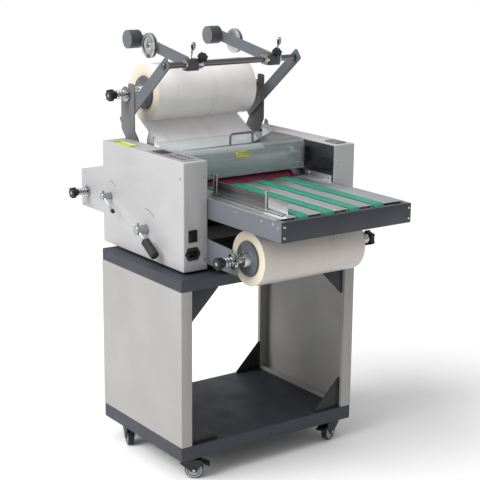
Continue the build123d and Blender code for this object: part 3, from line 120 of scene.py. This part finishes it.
def paint(piece, material, inside):
    """Gives a second finish to the faces whose centre and normal pass a test."""
    piece.data.materials.append(material)
    slot = len(piece.data.materials) - 1
    for face in piece.data.polygons:
        if inside(face.center, face.normal):
            face.material_index = slot


def paint_rims(piece, material, inside, axis):
    """As paint, but the test also takes how far the face reaches from an axis along X."""
    piece.data.materials.append(material)
    slot = len(piece.data.materials) - 1
    corners = piece.data.vertices
    for face in piece.data.polygons:
        reach = max(off_axis(corners[index].co, axis) for index in face.vertices)
        if inside(face.center, face.normal, reach):
            face.material_index = slot


def off_axis(point, axis):
    """The distance of a point from a line along X."""
    return math.hypot(point.y - axis.y, point.z - axis.z)


# ----------------------------------------------------------------- materials
def new_material(name, colour, **settings):
    """A Principled material; settings are sockets that hold over the whole surface."""
    material = bpy.data.materials.new(name)
    material.use_nodes = True
    shader = material.node_tree.nodes["Principled BSDF"]
    shader.inputs["Base Color"].default_value = (*colour, 1)
    for socket, value in settings.items():
        shader.inputs[socket.replace("_", " ")].default_value = value
    return material


def place_node(material, centre=(0, 0, 0), stretch=(1, 1, 1)):
    """Object coordinates, centred on a point and then stretched."""
    nodes = material.node_tree.nodes
    links = material.node_tree.links
    coordinates = nodes.new("ShaderNodeTexCoord")
    shift = nodes.new("ShaderNodeVectorMath")
    shift.operation = "SUBTRACT"
    shift.inputs[1].default_value = centre
    scale = nodes.new("ShaderNodeVectorMath")
    scale.operation = "MULTIPLY"
    scale.inputs[1].default_value = stretch
    links.new(coordinates.outputs["Object"], shift.inputs[0])
    links.new(shift.outputs[0], scale.inputs[0])
    return scale.outputs[0]


def noise(material, scale, detail=3.0, stretch=(1, 1, 1)):
    node = material.node_tree.nodes.new("ShaderNodeTexNoise")
    node.inputs["Scale"].default_value = scale
    node.inputs["Detail"].default_value = detail
    material.node_tree.links.new(place_node(material, stretch=stretch), node.inputs["Vector"])
    return node.outputs["Fac"]


def vary_colour(material, factor, low, high):
    ramp = material.node_tree.nodes.new("ShaderNodeValToRGB")
    ramp.color_ramp.elements[0].position = tone_low
    ramp.color_ramp.elements[0].color = (*low, 1)
    ramp.color_ramp.elements[1].position = tone_high
    ramp.color_ramp.elements[1].color = (*high, 1)
    shader = material.node_tree.nodes["Principled BSDF"]
    material.node_tree.links.new(factor, ramp.inputs["Fac"])
    material.node_tree.links.new(ramp.outputs["Color"], shader.inputs["Base Color"])


def vary_roughness(material, factor, low, high):
    spread = material.node_tree.nodes.new("ShaderNodeMapRange")
    spread.inputs["From Min"].default_value = tone_low
    spread.inputs["From Max"].default_value = tone_high
    spread.inputs["To Min"].default_value = low
    spread.inputs["To Max"].default_value = high
    shader = material.node_tree.nodes["Principled BSDF"]
    material.node_tree.links.new(factor, spread.inputs["Value"])
    material.node_tree.links.new(spread.outputs["Result"], shader.inputs["Roughness"])


def raise_bump(material, factor, strength, distance):
    bump = material.node_tree.nodes.new("ShaderNodeBump")
    bump.inputs["Strength"].default_value = strength
    bump.inputs["Distance"].default_value = distance
    shader = material.node_tree.nodes["Principled BSDF"]
    material.node_tree.links.new(factor, bump.inputs["Height"])
    material.node_tree.links.new(bump.outputs["Normal"], shader.inputs["Normal"])


def shade(colour, factor):
    return tuple(min(1.0, channel * factor) for channel in colour)


def powder_coat(name, colour, roughness):
    """Baked powder paint: a fine orange peel and a faint unevenness of tone."""
    material = new_material(name, colour, Specular_IOR_Level=0.45)
    cloud = noise(material, 5)
    vary_colour(material, cloud, shade(colour, 0.93), shade(colour, 1.05))
    vary_roughness(material, noise(material, 14), roughness - 0.06, roughness + 0.08)
    raise_bump(material, noise(material, 900, 2.0), 0.25, 0.15 * MM)
    return material


def brushed(name, colour, stretch, roughness=0.3):
    """Metal with fine lines that run along the axis where stretch is small."""
    material = new_material(name, colour, Metallic=1.0)
    lines = noise(material, 60, 4.0, stretch=stretch)
    vary_colour(material, lines, shade(colour, 0.86), shade(colour, 1.08))
    vary_roughness(material, lines, roughness - 0.07, roughness + 0.12)
    raise_bump(material, lines, 0.15, 0.05 * MM)
    return material


def polished(name, colour, roughness):
    """Plated metal with faint handling marks."""
    material = new_material(name, colour, Metallic=1.0)
    vary_colour(material, noise(material, 20), shade(colour, 0.93), colour)
    vary_roughness(material, noise(material, 45, 5.0), roughness * 0.6, roughness * 1.8)
    return material


def moulded(name, colour, roughness):
    """Plastic or rubber with a fine moulded grain."""
    material = new_material(name, colour, Specular_IOR_Level=0.3)
    vary_colour(material, noise(material, 30), shade(colour, 0.85), shade(colour, 1.2))
    vary_roughness(material, noise(material, 60), roughness - 0.08, roughness + 0.08)
    raise_bump(material, noise(material, 1400, 2.0), 0.3, 0.12 * MM)
    return material


def wound_end(name, axis, core):
    """The end of a film roll: a brown board core, then pale rings of wound film."""
    material = new_material(name, (0.74, 0.66, 0.50), Roughness=0.42)
    nodes = material.node_tree.nodes
    links = material.node_tree.links
    around = nodes.new("ShaderNodeVectorMath")
    around.operation = "LENGTH"
    links.new(place_node(material, axis, (0, 1, 1)), around.inputs[0])
    rings = nodes.new("ShaderNodeTexNoise")
    rings.noise_dimensions = "1D"
    rings.inputs["Scale"].default_value = 900
    rings.inputs["Detail"].default_value = 3
    links.new(around.outputs["Value"], rings.inputs["W"])
    vary_colour(material, rings.outputs["Fac"], (0.56, 0.49, 0.37), (0.72, 0.67, 0.57))
    film_colour = nodes["Principled BSDF"].inputs["Base Color"].links[0].from_socket
    beyond = nodes.new("ShaderNodeMath")
    beyond.operation = "GREATER_THAN"
    beyond.inputs[1].default_value = core
    links.new(around.outputs["Value"], beyond.inputs[0])
    blend = nodes.new("ShaderNodeMix")
    blend.data_type = "RGBA"
    blend.inputs["A"].default_value = (0.20, 0.125, 0.065, 1)
    links.new(beyond.outputs["Value"], blend.inputs["Factor"])
    links.new(film_colour, blend.inputs["B"])
    links.new(blend.outputs["Result"], nodes["Principled BSDF"].inputs["Base Color"])
    raise_bump(material, rings.outputs["Fac"], 0.5, 0.3 * MM)
    return material


def wound_film(name, colour, cover=1.0):
    """Film, wound or running: glossy, a little cloudy, with faint tension bands."""
    material = new_material(name, colour, Coat_Weight=0.35, Coat_Roughness=0.12, Alpha=cover)
    bands = noise(material, 9, 3.0, stretch=(3.0, 0.4, 0.4))
    vary_colour(material, bands, shade(colour, 0.95), shade(colour, 1.03))
    vary_roughness(material, bands, 0.26, 0.4)
    return material


def woven_belt(name, colour):
    """Green coated belting with a fine cross weave."""
    material = new_material(name, colour)
    weave = material.node_tree.nodes.new("ShaderNodeTexWave")
    weave.bands_direction = "DIAGONAL"
    weave.inputs["Scale"].default_value = 420
    weave.inputs["Distortion"].default_value = 1.2
    material.node_tree.links.new(place_node(material), weave.inputs["Vector"])
    vary_colour(material, noise(material, 40), shade(colour, 0.88), shade(colour, 1.1))
    vary_roughness(material, noise(material, 90), 0.38, 0.52)
    raise_bump(material, weave.outputs["Fac"], 0.2, 0.1 * MM)
    return material


def clear_sheet(name):
    """Clear acrylic with a faint cool tint and light scuffs."""
    material = new_material(name, (0.46, 0.52, 0.52), Alpha=0.34, IOR=1.49, Specular_IOR_Level=1.0)
    vary_colour(material, noise(material, 12), (0.42, 0.49, 0.49), (0.52, 0.58, 0.58))
    vary_roughness(material, noise(material, 35, 5.0), 0.02, 0.08)
    return material


def see_through_film(name, colour, cover):
    """Thin clear film: mostly seen through, with a gloss on it."""
    material = new_material(name, colour, Alpha=cover, Specular_IOR_Level=0.7)
    vary_roughness(material, noise(material, 20), 0.12, 0.22)
    return material


slate = powder_coat("slate_powder_coat", (0.027, 0.031, 0.041), 0.52)
pale = powder_coat("pale_powder_coat", (0.385, 0.385, 0.39), 0.5)
pale_cart = powder_coat("pale_cart_coat", (0.310, 0.305, 0.297), 0.5)
black_coat = powder_coat("black_coat", (0.009, 0.010, 0.012), 0.5)
beam_coat = powder_coat("beam_coat", (0.023, 0.027, 0.038), 0.42)
rail_coat = powder_coat("rail_coat", (0.120, 0.125, 0.146), 0.42)
upright_coat = powder_coat("upright_coat", (0.125, 0.122, 0.128), 0.42)
arm_coat = powder_coat("arm_coat", (0.105, 0.117, 0.132), 0.42)
weight_coat = powder_coat("weight_coat", (0.045, 0.049, 0.057), 0.42)
# Painted highlight: the weight's side that faces the left key light is given this lighter colour.
painted_highlight_coat = powder_coat("weight_painted_highlight_coat", (0.12, 0.128, 0.136), 0.45)
block_coat = powder_coat("clamp_block_coat", (0.045, 0.047, 0.055), 0.4)
chuck_coat = moulded("chuck_plastic", (0.085, 0.095, 0.115), 0.36)
ALONG_X = (0.02, 1, 1)
ALONG_Y = (1, 0.02, 1)
steel_x = brushed("steel_brushed_across", (0.42, 0.43, 0.45), ALONG_X)
steel_y = brushed("steel_brushed_along", (0.60, 0.61, 0.63), ALONG_Y)
fence_steel = brushed("fence_steel", (0.42, 0.42, 0.415), ALONG_Y, 0.26)
dark_steel = brushed("dark_ground_steel", (0.17, 0.17, 0.18), ALONG_X, 0.28)
frame_steel = brushed("frame_steel", (0.11, 0.11, 0.122), ALONG_Y, 0.24)
aluminium = brushed("wheel_aluminium", (0.60, 0.61, 0.61), (1, 1, 1), 0.34)
zinc = brushed("zinc_plate", (0.58, 0.59, 0.61), (1, 1, 0.2), 0.3)
chrome = polished("chrome_plate", (0.42, 0.43, 0.45), 0.1)
nickel = polished("nickel_plate", (0.45, 0.445, 0.44), 0.16)
red_silicone = moulded("red_silicone", (0.33, 0.018, 0.058), 0.36)
black_rubber = moulded("black_rubber", (0.018, 0.018, 0.019), 0.62)
black_plastic = moulded("black_plastic", (0.012, 0.012, 0.013), 0.4)
gloss_black = moulded("gloss_black", (0.008, 0.008, 0.009), 0.16)
tread = moulded("castor_tread", (0.016, 0.016, 0.018), 0.55)
hub_plastic = moulded("castor_hub", (0.33, 0.34, 0.35), 0.45)
key_plastic = moulded("key_plastic", (0.040, 0.042, 0.045), 0.5)
panel_skin = moulded("panel_skin", (0.24, 0.24, 0.25), 0.45)
dark_print = moulded("dark_print", (0.035, 0.035, 0.04), 0.5)
pale_print = moulded("pale_print", (0.42, 0.43, 0.44), 0.5)
badge_grey = moulded("blank_badge", (0.16, 0.16, 0.165), 0.45)
yellow_label = moulded("blank_yellow_label", (0.55, 0.50, 0.08), 0.4)
green_label = moulded("blank_green_label", (0.44, 0.50, 0.09), 0.4)
brass = polished("contact_brass", (0.20, 0.16, 0.09), 0.3)
belting = woven_belt("green_belting", (0.012, 0.245, 0.145))
upper_skin = wound_film("upper_film_skin", (0.78, 0.755, 0.745))
lower_skin = wound_film("lower_film_skin", (0.50, 0.455, 0.425))
web_skin = wound_film("film_web_skin", (0.88, 0.87, 0.87), 0.72)
acrylic = clear_sheet("clear_acrylic")
clear_film = see_through_film("clear_film", (0.60, 0.60, 0.61), 0.05)


# ---------------------------------------------------------------------- cart
def dress_cart():
    finished("base_shelf", slate, 1.2 * MM, 3)
    finished("cart_top", slate, 1.2 * MM, 3)
    finished("side_panels", pale_cart, 0.6 * MM)
    finished("corner_gussets", black_coat, 0.6 * MM)
    finished("castor_plates", zinc, 0.5 * MM)


def dress_castors():
    hub_radius = 17.6 * MM
    nut = turned_head(4.6 * MM, 2.6 * MM, 6)
    for corner in ("front_left", "front_right", "back_left", "back_right"):
        finished(f"{corner}_castor_fork", black_coat, 0.5 * MM)
        wheel = finished(f"{corner}_castor_wheel", tread, 0.4 * MM)
        axle = pivot(f"{corner}_roll")
        turn = Vector(joints[f"{corner}_roll"]["axis"])

        def is_hub(centre, normal):
            return (centre - axle).cross(turn).length < hub_radius
        paint(wheel, hub_plastic, is_hub)
        add_axle_nuts(nut, corner, axle, turn)
        if corner.startswith("front"):
            finished(f"{corner}_brake_pedal", black_plastic, 0.5 * MM)
    put_away(nut)


def facing(direction):
    """The turn that takes +Z to a direction."""
    return Vector((0, 0, 1)).rotation_difference(Vector(direction)).to_euler()


def turned_head(radius, depth, corners=24):
    """A low round or many sided head on its foot: the outer face is inset and raised, the rim eased."""
    face_share = 0.75
    raised = 0.25
    bpy.ops.object.select_all(action="DESELECT")
    bpy.ops.mesh.primitive_cylinder_add(vertices=corners, radius=radius, depth=depth)
    head = bpy.context.object
    bpy.ops.object.mode_set(mode="EDIT")
    bpy.ops.mesh.select_all(action="DESELECT")
    bpy.ops.object.mode_set(mode="OBJECT")
    for face in head.data.polygons:
        face.select = face.normal.z > 0.9
    bpy.ops.object.mode_set(mode="EDIT")
    bpy.ops.mesh.inset(thickness=radius * (1 - face_share))
    bpy.ops.transform.translate(value=(0, 0, depth * raised))
    bpy.ops.object.mode_set(mode="OBJECT")
    round_edges(head, min(radius, depth) * 0.15, 2, 20)
    only(head)
    head.location.z = depth / 2
    bpy.ops.object.transform_apply(location=True, rotation=False, scale=False)
    return head


def copy_onto(model, place, direction):
    """A copy of a modelled head, with a mesh of its own, that stands on a place and faces a direction."""
    head = model.copy()
    head.data = model.data.copy()
    bpy.context.scene.collection.objects.link(head)
    head.rotation_euler = facing(Vector(direction).normalized())
    head.location = place
    return head


def put_away(model):
    """Removes a model once its copies are made."""
    mesh = model.data
    bpy.data.objects.remove(model)
    bpy.data.meshes.remove(mesh)


def add_axle_nuts(model, corner, axle, turn):
    """A six sided nut closes each end of a castor's axle."""
    fork_half = 12.7 * MM
    for end, way in (("near", -1), ("far", 1)):
        nut = copy_onto(model, axle + turn * way * fork_half, turn * way)
        finish_piece(nut, f"{corner}_axle_nut_{end}", nickel, f"{corner}_fork")


# ------------------------------------------------------------------- machine
def dress_covers():
    for side in sides:
        finished(f"{side}_cover", pale, 0.7 * MM, 2)
    finished("machine_feet", black_rubber, 0.8 * MM)
    finished("machine_base", black_coat, 0.5 * MM)
    finished("side_frames", frame_steel, 0.5 * MM)
    finished("roller_bearings", steel_x, 0.4 * MM)
    finished("nip_blocks", steel_y, 0.5 * MM)
    finished("drive_motor", black_coat, 1.0 * MM)
    finished("machine_screws", nickel, 0.5 * MM)
    finished("power_rocker", gloss_black, 0.4 * MM)
    inlet = finished("power_inlet", black_plastic, 0.3 * MM)
    low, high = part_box("power_inlet")
    contacts_from, contacts_to = low.y + 4 * MM, low.y + 18 * MM
    contacts_z = low.z + 17 * MM
    reach_x, reach_z = 9 * MM, 5.5 * MM

    def is_contact(centre, normal):
        near_x = abs(centre.x - (low.x + high.x) / 2) < reach_x
        near_z = abs(centre.z - contacts_z) < reach_z
        return contacts_from < centre.y < contacts_to and near_x and near_z
    paint(inlet, brass, is_contact)


def dress_panel():
    """The membrane panel: pale skin, darker keys, each with a plain round mark."""
    panel = finished("control_panel", panel_skin, 0.2 * MM, 1)
    low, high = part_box("control_panel")
    skin_top = low.z + 0.9 * MM
    display_from = low.y + 117 * MM
    key_rows, key_columns = 5, 2
    key_pitch = 17 * MM
    key_aside = 12 * MM
    mark_sunk = 0.05 * MM
    paint(panel, key_plastic, lambda centre, normal: centre.z > skin_top)
    paint(panel, gloss_black, lambda centre, normal: centre.z > skin_top and centre.y > display_from)
    centre = middle("control_panel")
    model = turned_head(2.0 * MM, 0.12 * MM)
    for row in range(key_rows):
        for column in range(key_columns):
            place = (centre.x + (2 * column - 1) * key_aside,
                     centre.y + (row - key_rows + 1) * key_pitch, high.z - mark_sunk)
            mark = copy_onto(model, place, (0, 0, 1))
            finish_piece(mark, f"key_mark_{row}_{column}", pale_print, "frame")
    put_away(model)


def thin_plate(name, centre, size, material, body):
    """A blank label: a thin plate with rounded corners."""
    bpy.ops.object.select_all(action="DESELECT")
    bpy.ops.mesh.primitive_cube_add(size=1, location=(0, 0, 0))
    plate = bpy.context.object
    plate.scale = size
    bpy.ops.object.transform_apply(location=False, rotation=False, scale=True)
    thin = size.index(min(size))
    bpy.ops.object.mode_set(mode="EDIT")
    bpy.ops.mesh.select_all(action="DESELECT")
    bpy.ops.object.mode_set(mode="OBJECT")
    for edge in plate.data.edges:
        ends = [plate.data.vertices[index].co for index in edge.vertices]
        edge.select = abs(ends[0][thin] - ends[1][thin]) > size[thin] * 0.5
    bpy.ops.object.mode_set(mode="EDIT")
    bpy.ops.mesh.bevel(offset=3 * MM, segments=4)
    bpy.ops.object.mode_set(mode="OBJECT")
    plate.location = centre
    return finish_piece(plate, name, material, body)


def add_labels():
    """Three blank plates: behind the panel, on the right cover, and on the clear pane."""
    thick = 0.2 * MM
    low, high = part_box("left_cover")
    thin_plate("rear_blank_label", (low.x + 18 * MM, high.y - 221 * MM, high.z + thick / 2),
               (26 * MM, 90 * MM, thick), green_label, "frame")
    low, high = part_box("right_cover")
    thin_plate("front_blank_badge", ((low.x + high.x) / 2, low.y + 42 * MM, high.z + thick / 2),
               (36 * MM, 52 * MM, thick), badge_grey, "frame")
    low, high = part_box("safety_cover")
    thin_plate("pane_blank_label",
               ((low.x + high.x) / 2 - 11 * MM, low.y + 2.9 * MM, high.z - 57.5 * MM),
               (40 * MM, thick, 14 * MM), yellow_label, "safety_cover")


def printed_arc(name, joint, radius, start, sweep):
    """A thin printed arc on the left cover, round a lever's boss."""
    centre = pivot(joint)
    face_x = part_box("left_cover")[0].x
    line_width = 1.5 * MM
    line_height = 0.12 * MM
    steps = 28
    bpy.ops.object.select_all(action="DESELECT")
    bpy.ops.mesh.primitive_plane_add(size=1)
    arc = bpy.context.object
    arc.scale = (line_height, line_width, 1)
    bpy.ops.object.transform_apply(location=False, rotation=False, scale=True)
    arc.location = (face_x - line_height / 2, centre.y + radius, centre.z)
    bpy.ops.object.transform_apply(location=True, rotation=False, scale=False)
    bpy.ops.object.mode_set(mode="EDIT")
    bpy.ops.mesh.select_all(action="SELECT")
    bpy.ops.transform.rotate(value=-math.radians(start), orient_axis="X",
                             center_override=(face_x, centre.y, centre.z))
    bpy.ops.mesh.spin(steps=steps, angle=-math.radians(sweep), center=(face_x, centre.y, centre.z),
                      axis=(1, 0, 0))
    bpy.ops.mesh.select_all(action="SELECT")
    bpy.ops.mesh.remove_doubles(threshold=0.005 * MM)
    bpy.ops.mesh.normals_make_consistent(inside=False)
    bpy.ops.object.mode_set(mode="OBJECT")
    finish_piece(arc, name, dark_print, "frame")


def dress_levers():
    for lever, grip_from in (("pressure_lever", 36 * MM), ("pull_lever", 48 * MM)):
        piece = finished(lever, chrome, 0.4 * MM)
        centre = pivot(f"{lever}_turn")
        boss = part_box(lever)[1].x

        def is_grip(point, normal):
            return off_axis(point, centre) > grip_from and point.x < boss
        paint(piece, black_rubber, is_grip)


# ------------------------------------------------------------- rollers, film
def dress_rollers():
    for node, face in (("heated_roller", chrome), ("rubber_roller", red_silicone),
                       ("upper_pull_roller", black_rubber), ("lower_pull_roller", black_rubber)):
        roller = finished(node, steel_x, 0.4 * MM)
        low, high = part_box(node)
        axis = (low + high) / 2
        face_from = (high.z - low.z) / 2 - 3 * MM

        def is_face(centre, normal):
            return off_axis(centre, axis) > face_from
        paint(roller, face, is_face)
    finished("guide_bars", chrome, 0)
    finished("belt_roller", steel_x, 0.4 * MM)


def dress_webs():
    """The running film: cloudy, and clear where it lies on the nip rollers."""
    webs = finished("film_webs", web_skin, 0)
    nip_rollers = (middle("heated_roller"), middle("rubber_roller"))
    roller_reach = 38 * MM

    def is_on_roller(centre, normal):
        return min(off_axis(centre, axis) for axis in nip_rollers) < roller_reach
    paint(webs, clear_film, is_on_roller)


def dress_roll(level, skin):
    """A film roll: its skin outside, rings of film and a board core at each end."""
    roll = finished(f"{level}_film_roll", skin, 0.5 * MM)
    axis = middle(f"{level}_film_roll")
    low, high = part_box(f"{level}_film_roll")
    end_x = (high.x - low.x) / 2 - 0.6 * MM
    core = 47.75 * MM
    ends = wound_end(f"{level}_film_end", axis, core)
    paint(roll, ends, lambda centre, normal: abs(centre.x - axis.x) > end_x)
    paint_rims(roll, ends, lambda centre, normal, reach: reach < core + 0.5 * MM, axis)


def dress_mandrel(level, bolt_model):
    """A mandrel: a bright shaft with plastic chucks, each on a metal hub with a clamp screw."""
    mandrel = finished(f"{level}_mandrel", chrome, 0.4 * MM)
    axis = middle(f"{level}_film_roll")
    low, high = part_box(f"{level}_film_roll")
    past_roll = 24 * MM
    shaft_radius = 9.6 * MM
    hub_radius = 20.6 * MM

    def is_chuck(centre, normal, reach):
        return low.x - past_roll < centre.x < high.x + past_roll and reach > shaft_radius
    paint_rims(mandrel, chuck_coat, is_chuck, axis)

    def is_hub(centre, normal, reach):
        return is_chuck(centre, normal, reach) and reach < hub_radius
    paint_rims(mandrel, aluminium, is_hub, axis)
    for end, x, way in (("left", low.x, -1), ("right", high.x, 1)):
        place = (x + way * 15 * MM, axis.y, axis.z + 19.2 * MM)
        bolt = copy_onto(bolt_model, place, (0, 0, 1))
        finish_piece(bolt, f"{level}_{end}_chuck_screw", nickel, f"{level}_mandrel")
    return mandrel


def dress_knobs():
    """Each tension knob has a plated cap, let in flush with its outer face."""
    cap_depth = 0.9 * MM
    model = turned_head(5.4 * MM, cap_depth)
    for knob in ("upper_tension_knob", "lower_tension_knob", "rewind_knob"):
        finished(knob, black_plastic, 1.1 * MM, 3)
        axis = middle(knob)
        outer_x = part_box(knob)[0].x
        cap = copy_onto(model, (outer_x + cap_depth, axis.y, axis.z), (-1, 0, 0))
        finish_piece(cap, f"{knob}_cap", nickel, knob)
    put_away(model)


def dress_film():
    dress_webs()
    bolt_model = turned_head(3.4 * MM, 3 * MM, 6)
    for level, skin in (("upper", upper_skin), ("lower", lower_skin)):
        dress_roll(level, skin)
        mandrel = dress_mandrel(level, bolt_model)
    put_away(bolt_model)
    dress_knobs()
    grip_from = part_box("lower_mandrel")[1].x - 13.2 * MM
    paint(mandrel, black_plastic, lambda centre, normal: centre.x > grip_from)
    finished("rewind_shaft", chrome, 0.4 * MM)


# --------------------------------------------------------------- over machine
def dress_carrier():
    finished("uprights", upright_coat, 0.6 * MM)
    finished("diagonal_arms", arm_coat, 0.6 * MM)
    finished("crossbar", dark_steel, 0)
    finished("lower_brackets", rail_coat, 0.6 * MM)
    collars = finished("perforator_collars", nickel, 0.6 * MM)
    bar = middle("crossbar")

    collar_reach = 15 * MM

    def is_knob(centre, normal):
        return off_axis(centre, bar) > collar_reach
    paint(collars, black_plastic, is_knob)


def dress_perforators():
    bar = middle("crossbar")
    weight_along = 274 * MM
    weight_reach = 27 * MM
    block_y, block_z = 17 * MM, 18 * MM
    groove_from, groove_to = 25 * MM, 32 * MM
    blade = toothed_blade()
    for side in sides:
        swing = pivot(f"{side}_perforator_swing")
        hub = pivot(f"{side}_perforating_wheel_spin")
        tilt = math.atan2(hub.z - swing.z, hub.y - swing.y)
        along = Vector((0, math.cos(tilt), math.sin(tilt)))
        arm = finished(f"{side}_perforator_arm", arm_coat, 0.6 * MM)
        weight_at = swing + along * weight_along
        left = swing.x - 2.1 * MM

        def is_block(centre, normal):
            return abs(centre.y - bar.y) < block_y and abs(centre.z - bar.z) < block_z

        def is_weight(centre, normal):
            return centre.x < left and off_axis(centre, weight_at) < weight_reach

        # Painted highlight: the weight's faces that point to -X, toward the key light, get the lighter colour.
        def is_weight_painted_highlight(centre, normal):
            return is_weight(centre, normal) and normal.x < -0.9

        def is_ring(centre, normal):
            return centre.z > bar.z + block_z and abs(centre.y - bar.y) < 12 * MM

        def is_lock_knob(centre, normal):
            ahead = (centre.z - bar.z) - (centre.y - bar.y)
            return ahead > 30 * MM and centre.y < bar.y - 5 * MM
        paint(arm, block_coat, is_block)
        paint(arm, weight_coat, is_weight)
        paint(arm, painted_highlight_coat, is_weight_painted_highlight)
        paint(arm, nickel, is_ring)
        paint(arm, black_plastic, is_lock_knob)
        wheel = finished(f"{side}_perforating_wheel", aluminium, 0.5 * MM)
        paint(wheel, weight_coat, lambda centre, normal: groove_from < off_axis(centre, hub) < groove_to)
        add_blade(blade, side, hub)
    put_away(blade)


def toothed_blade():
    """The blade of a perforating wheel: a thin ring with cut teeth, modelled once."""
    radius = 34.8 * MM
    steps = 180
    root_share = 0.955
    bpy.ops.object.select_all(action="DESELECT")
    bpy.ops.mesh.primitive_cylinder_add(vertices=steps, radius=radius, depth=0.8 * MM)
    blade = bpy.context.object
    for vertex in blade.data.vertices:
        angle = math.atan2(vertex.co.y, vertex.co.x) % (2 * math.pi)
        if round(angle / (2 * math.pi) * steps) % 2:
            vertex.co.x *= root_share
            vertex.co.y *= root_share
    return blade


def add_blade(model, side, hub):
    """A copy of the blade, with its own mesh, in the groove of a wheel."""
    blade = model.copy()
    blade.data = model.data.copy()
    bpy.context.scene.collection.objects.link(blade)
    blade.rotation_euler = (0, math.radians(90), 0)
    blade.location = (middle(f"{side}_perforating_wheel").x, hub.y, hub.z)
    finish_piece(blade, f"{side}_perforating_blade", nickel, f"{side}_perforating_wheel")


def dress_safety_cover():
    cover = finished("safety_cover", acrylic, 0.3 * MM)
    low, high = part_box("safety_cover")
    handle_from = high.z - 32.4 * MM
    handle_half = 45 * MM
    handle_back = low.y + 40 * MM
    blocks_from = 194 * MM
    centre_x = middle("safety_cover").x
    front = low.y + 3.1 * MM

    def is_handle(centre, normal):
        aside = abs(centre.x - centre_x)
        return centre.z > handle_from and aside < handle_half and centre.y < handle_back

    def is_end_block(centre, normal):
        return centre.y < front and abs(centre.x - centre_x) > blocks_from
    paint(cover, dark_steel, is_handle)
    paint(cover, rail_coat, is_end_block)
    finished("cover_hinges", steel_y, 0.4 * MM)


# ---------------------------------------------------------------- feed table
def dress_table():
    finished("table_rails", rail_coat, 0.4 * MM)
    finished("table_front_beam", beam_coat, 0.4 * MM)
    finished("feed_deck", steel_y, 0.3 * MM)
    finished("feed_belts", belting, 0.3 * MM)
    finished("side_fence", fence_steel, 0.3 * MM)


# --------------------------------------------------------------------- scene
def add_floor():
    bpy.ops.object.select_all(action="DESELECT")
    bpy.ops.mesh.primitive_plane_add(size=14, location=(0, 0, 0))
    floor = bpy.context.object
    floor.name = "floor"
    material = new_material("floor_paint", (0.88, 0.88, 0.88), Roughness=0.7)
    vary_colour(material, noise(material, 1.5), (0.87, 0.87, 0.87), (0.90, 0.90, 0.90))
    floor.data.materials.append(material)


def place_lamp(lamp, place, back):
    """Puts a lamp in the scene, with its beam opposite to the direction back."""
    holder = bpy.data.objects.new(lamp.name, lamp)
    bpy.context.scene.collection.objects.link(holder)
    holder.location = place
    holder.rotation_euler = back.to_track_quat("Z", "Y").to_euler()


def add_lights():
    target = Vector((0, 0, 0.6))
    above = Vector((-0.4, 0.4, 3.4))
    lamp = bpy.data.lights.new("top_soft", "AREA")
    lamp.shape = "DISK"
    lamp.size = 2.2
    lamp.energy = 22
    place_lamp(lamp, above, above - target)
    broad = bpy.data.lights.new("soft_left", "SUN")
    broad.energy = 3.3
    broad.angle = math.radians(48)
    place_lamp(broad, Vector((0, 0, 0)), Vector((-0.75, 0.06, 0.65)))
    world = bpy.data.worlds.new("studio")
    bpy.context.scene.world = world
    world.use_nodes = True
    nodes = world.node_tree.nodes
    seen = nodes.new("ShaderNodeLightPath")
    strength = nodes.new("ShaderNodeMapRange")
    strength.inputs["To Min"].default_value = 0.56
    strength.inputs["To Max"].default_value = 1.0
    world.node_tree.links.new(seen.outputs["Is Camera Ray"], strength.inputs["Value"])
    world.node_tree.links.new(strength.outputs["Result"], nodes["Background"].inputs["Strength"])
    nodes["Background"].inputs["Color"].default_value = (1, 1, 1, 1)
    bpy.context.scene.view_settings.view_transform = "Standard"


def add_camera():
    """A long lens from the front left, a little above the machine."""
    azimuth = math.radians(-35.303)
    elevation = math.radians(14.027)
    roll = math.radians(0.501)
    place = Vector((-2.0329, -2.8764, 1.4802))
    back = Vector((math.sin(azimuth) * math.cos(elevation), -math.cos(azimuth) * math.cos(elevation),
                   math.sin(elevation)))
    across = Vector((math.cos(azimuth), math.sin(azimuth), 0))
    up = back.cross(across)
    right = across * math.cos(roll) + up * math.sin(roll)
    top = up * math.cos(roll) - across * math.sin(roll)
    data = bpy.data.cameras.new("view")
    data.lens = 98.2
    data.sensor_width = 36
    camera = bpy.data.objects.new("view", data)
    turn = Matrix((right, top, back)).transposed().to_4x4()
    camera.matrix_world = Matrix.Translation(place) @ turn
    bpy.context.scene.collection.objects.link(camera)
    bpy.context.scene.camera = camera


dress_cart()
dress_castors()
dress_covers()
dress_panel()
add_labels()
printed_arc("pressure_arc", "pressure_lever_turn", 56 * MM, 85, 50)
printed_arc("pull_arc", "pull_lever_turn", 42 * MM, 85, 50)
dress_levers()
dress_rollers()
dress_film()
dress_carrier()
dress_perforators()
dress_safety_cover()
dress_table()
add_floor()
add_lights()
add_camera()
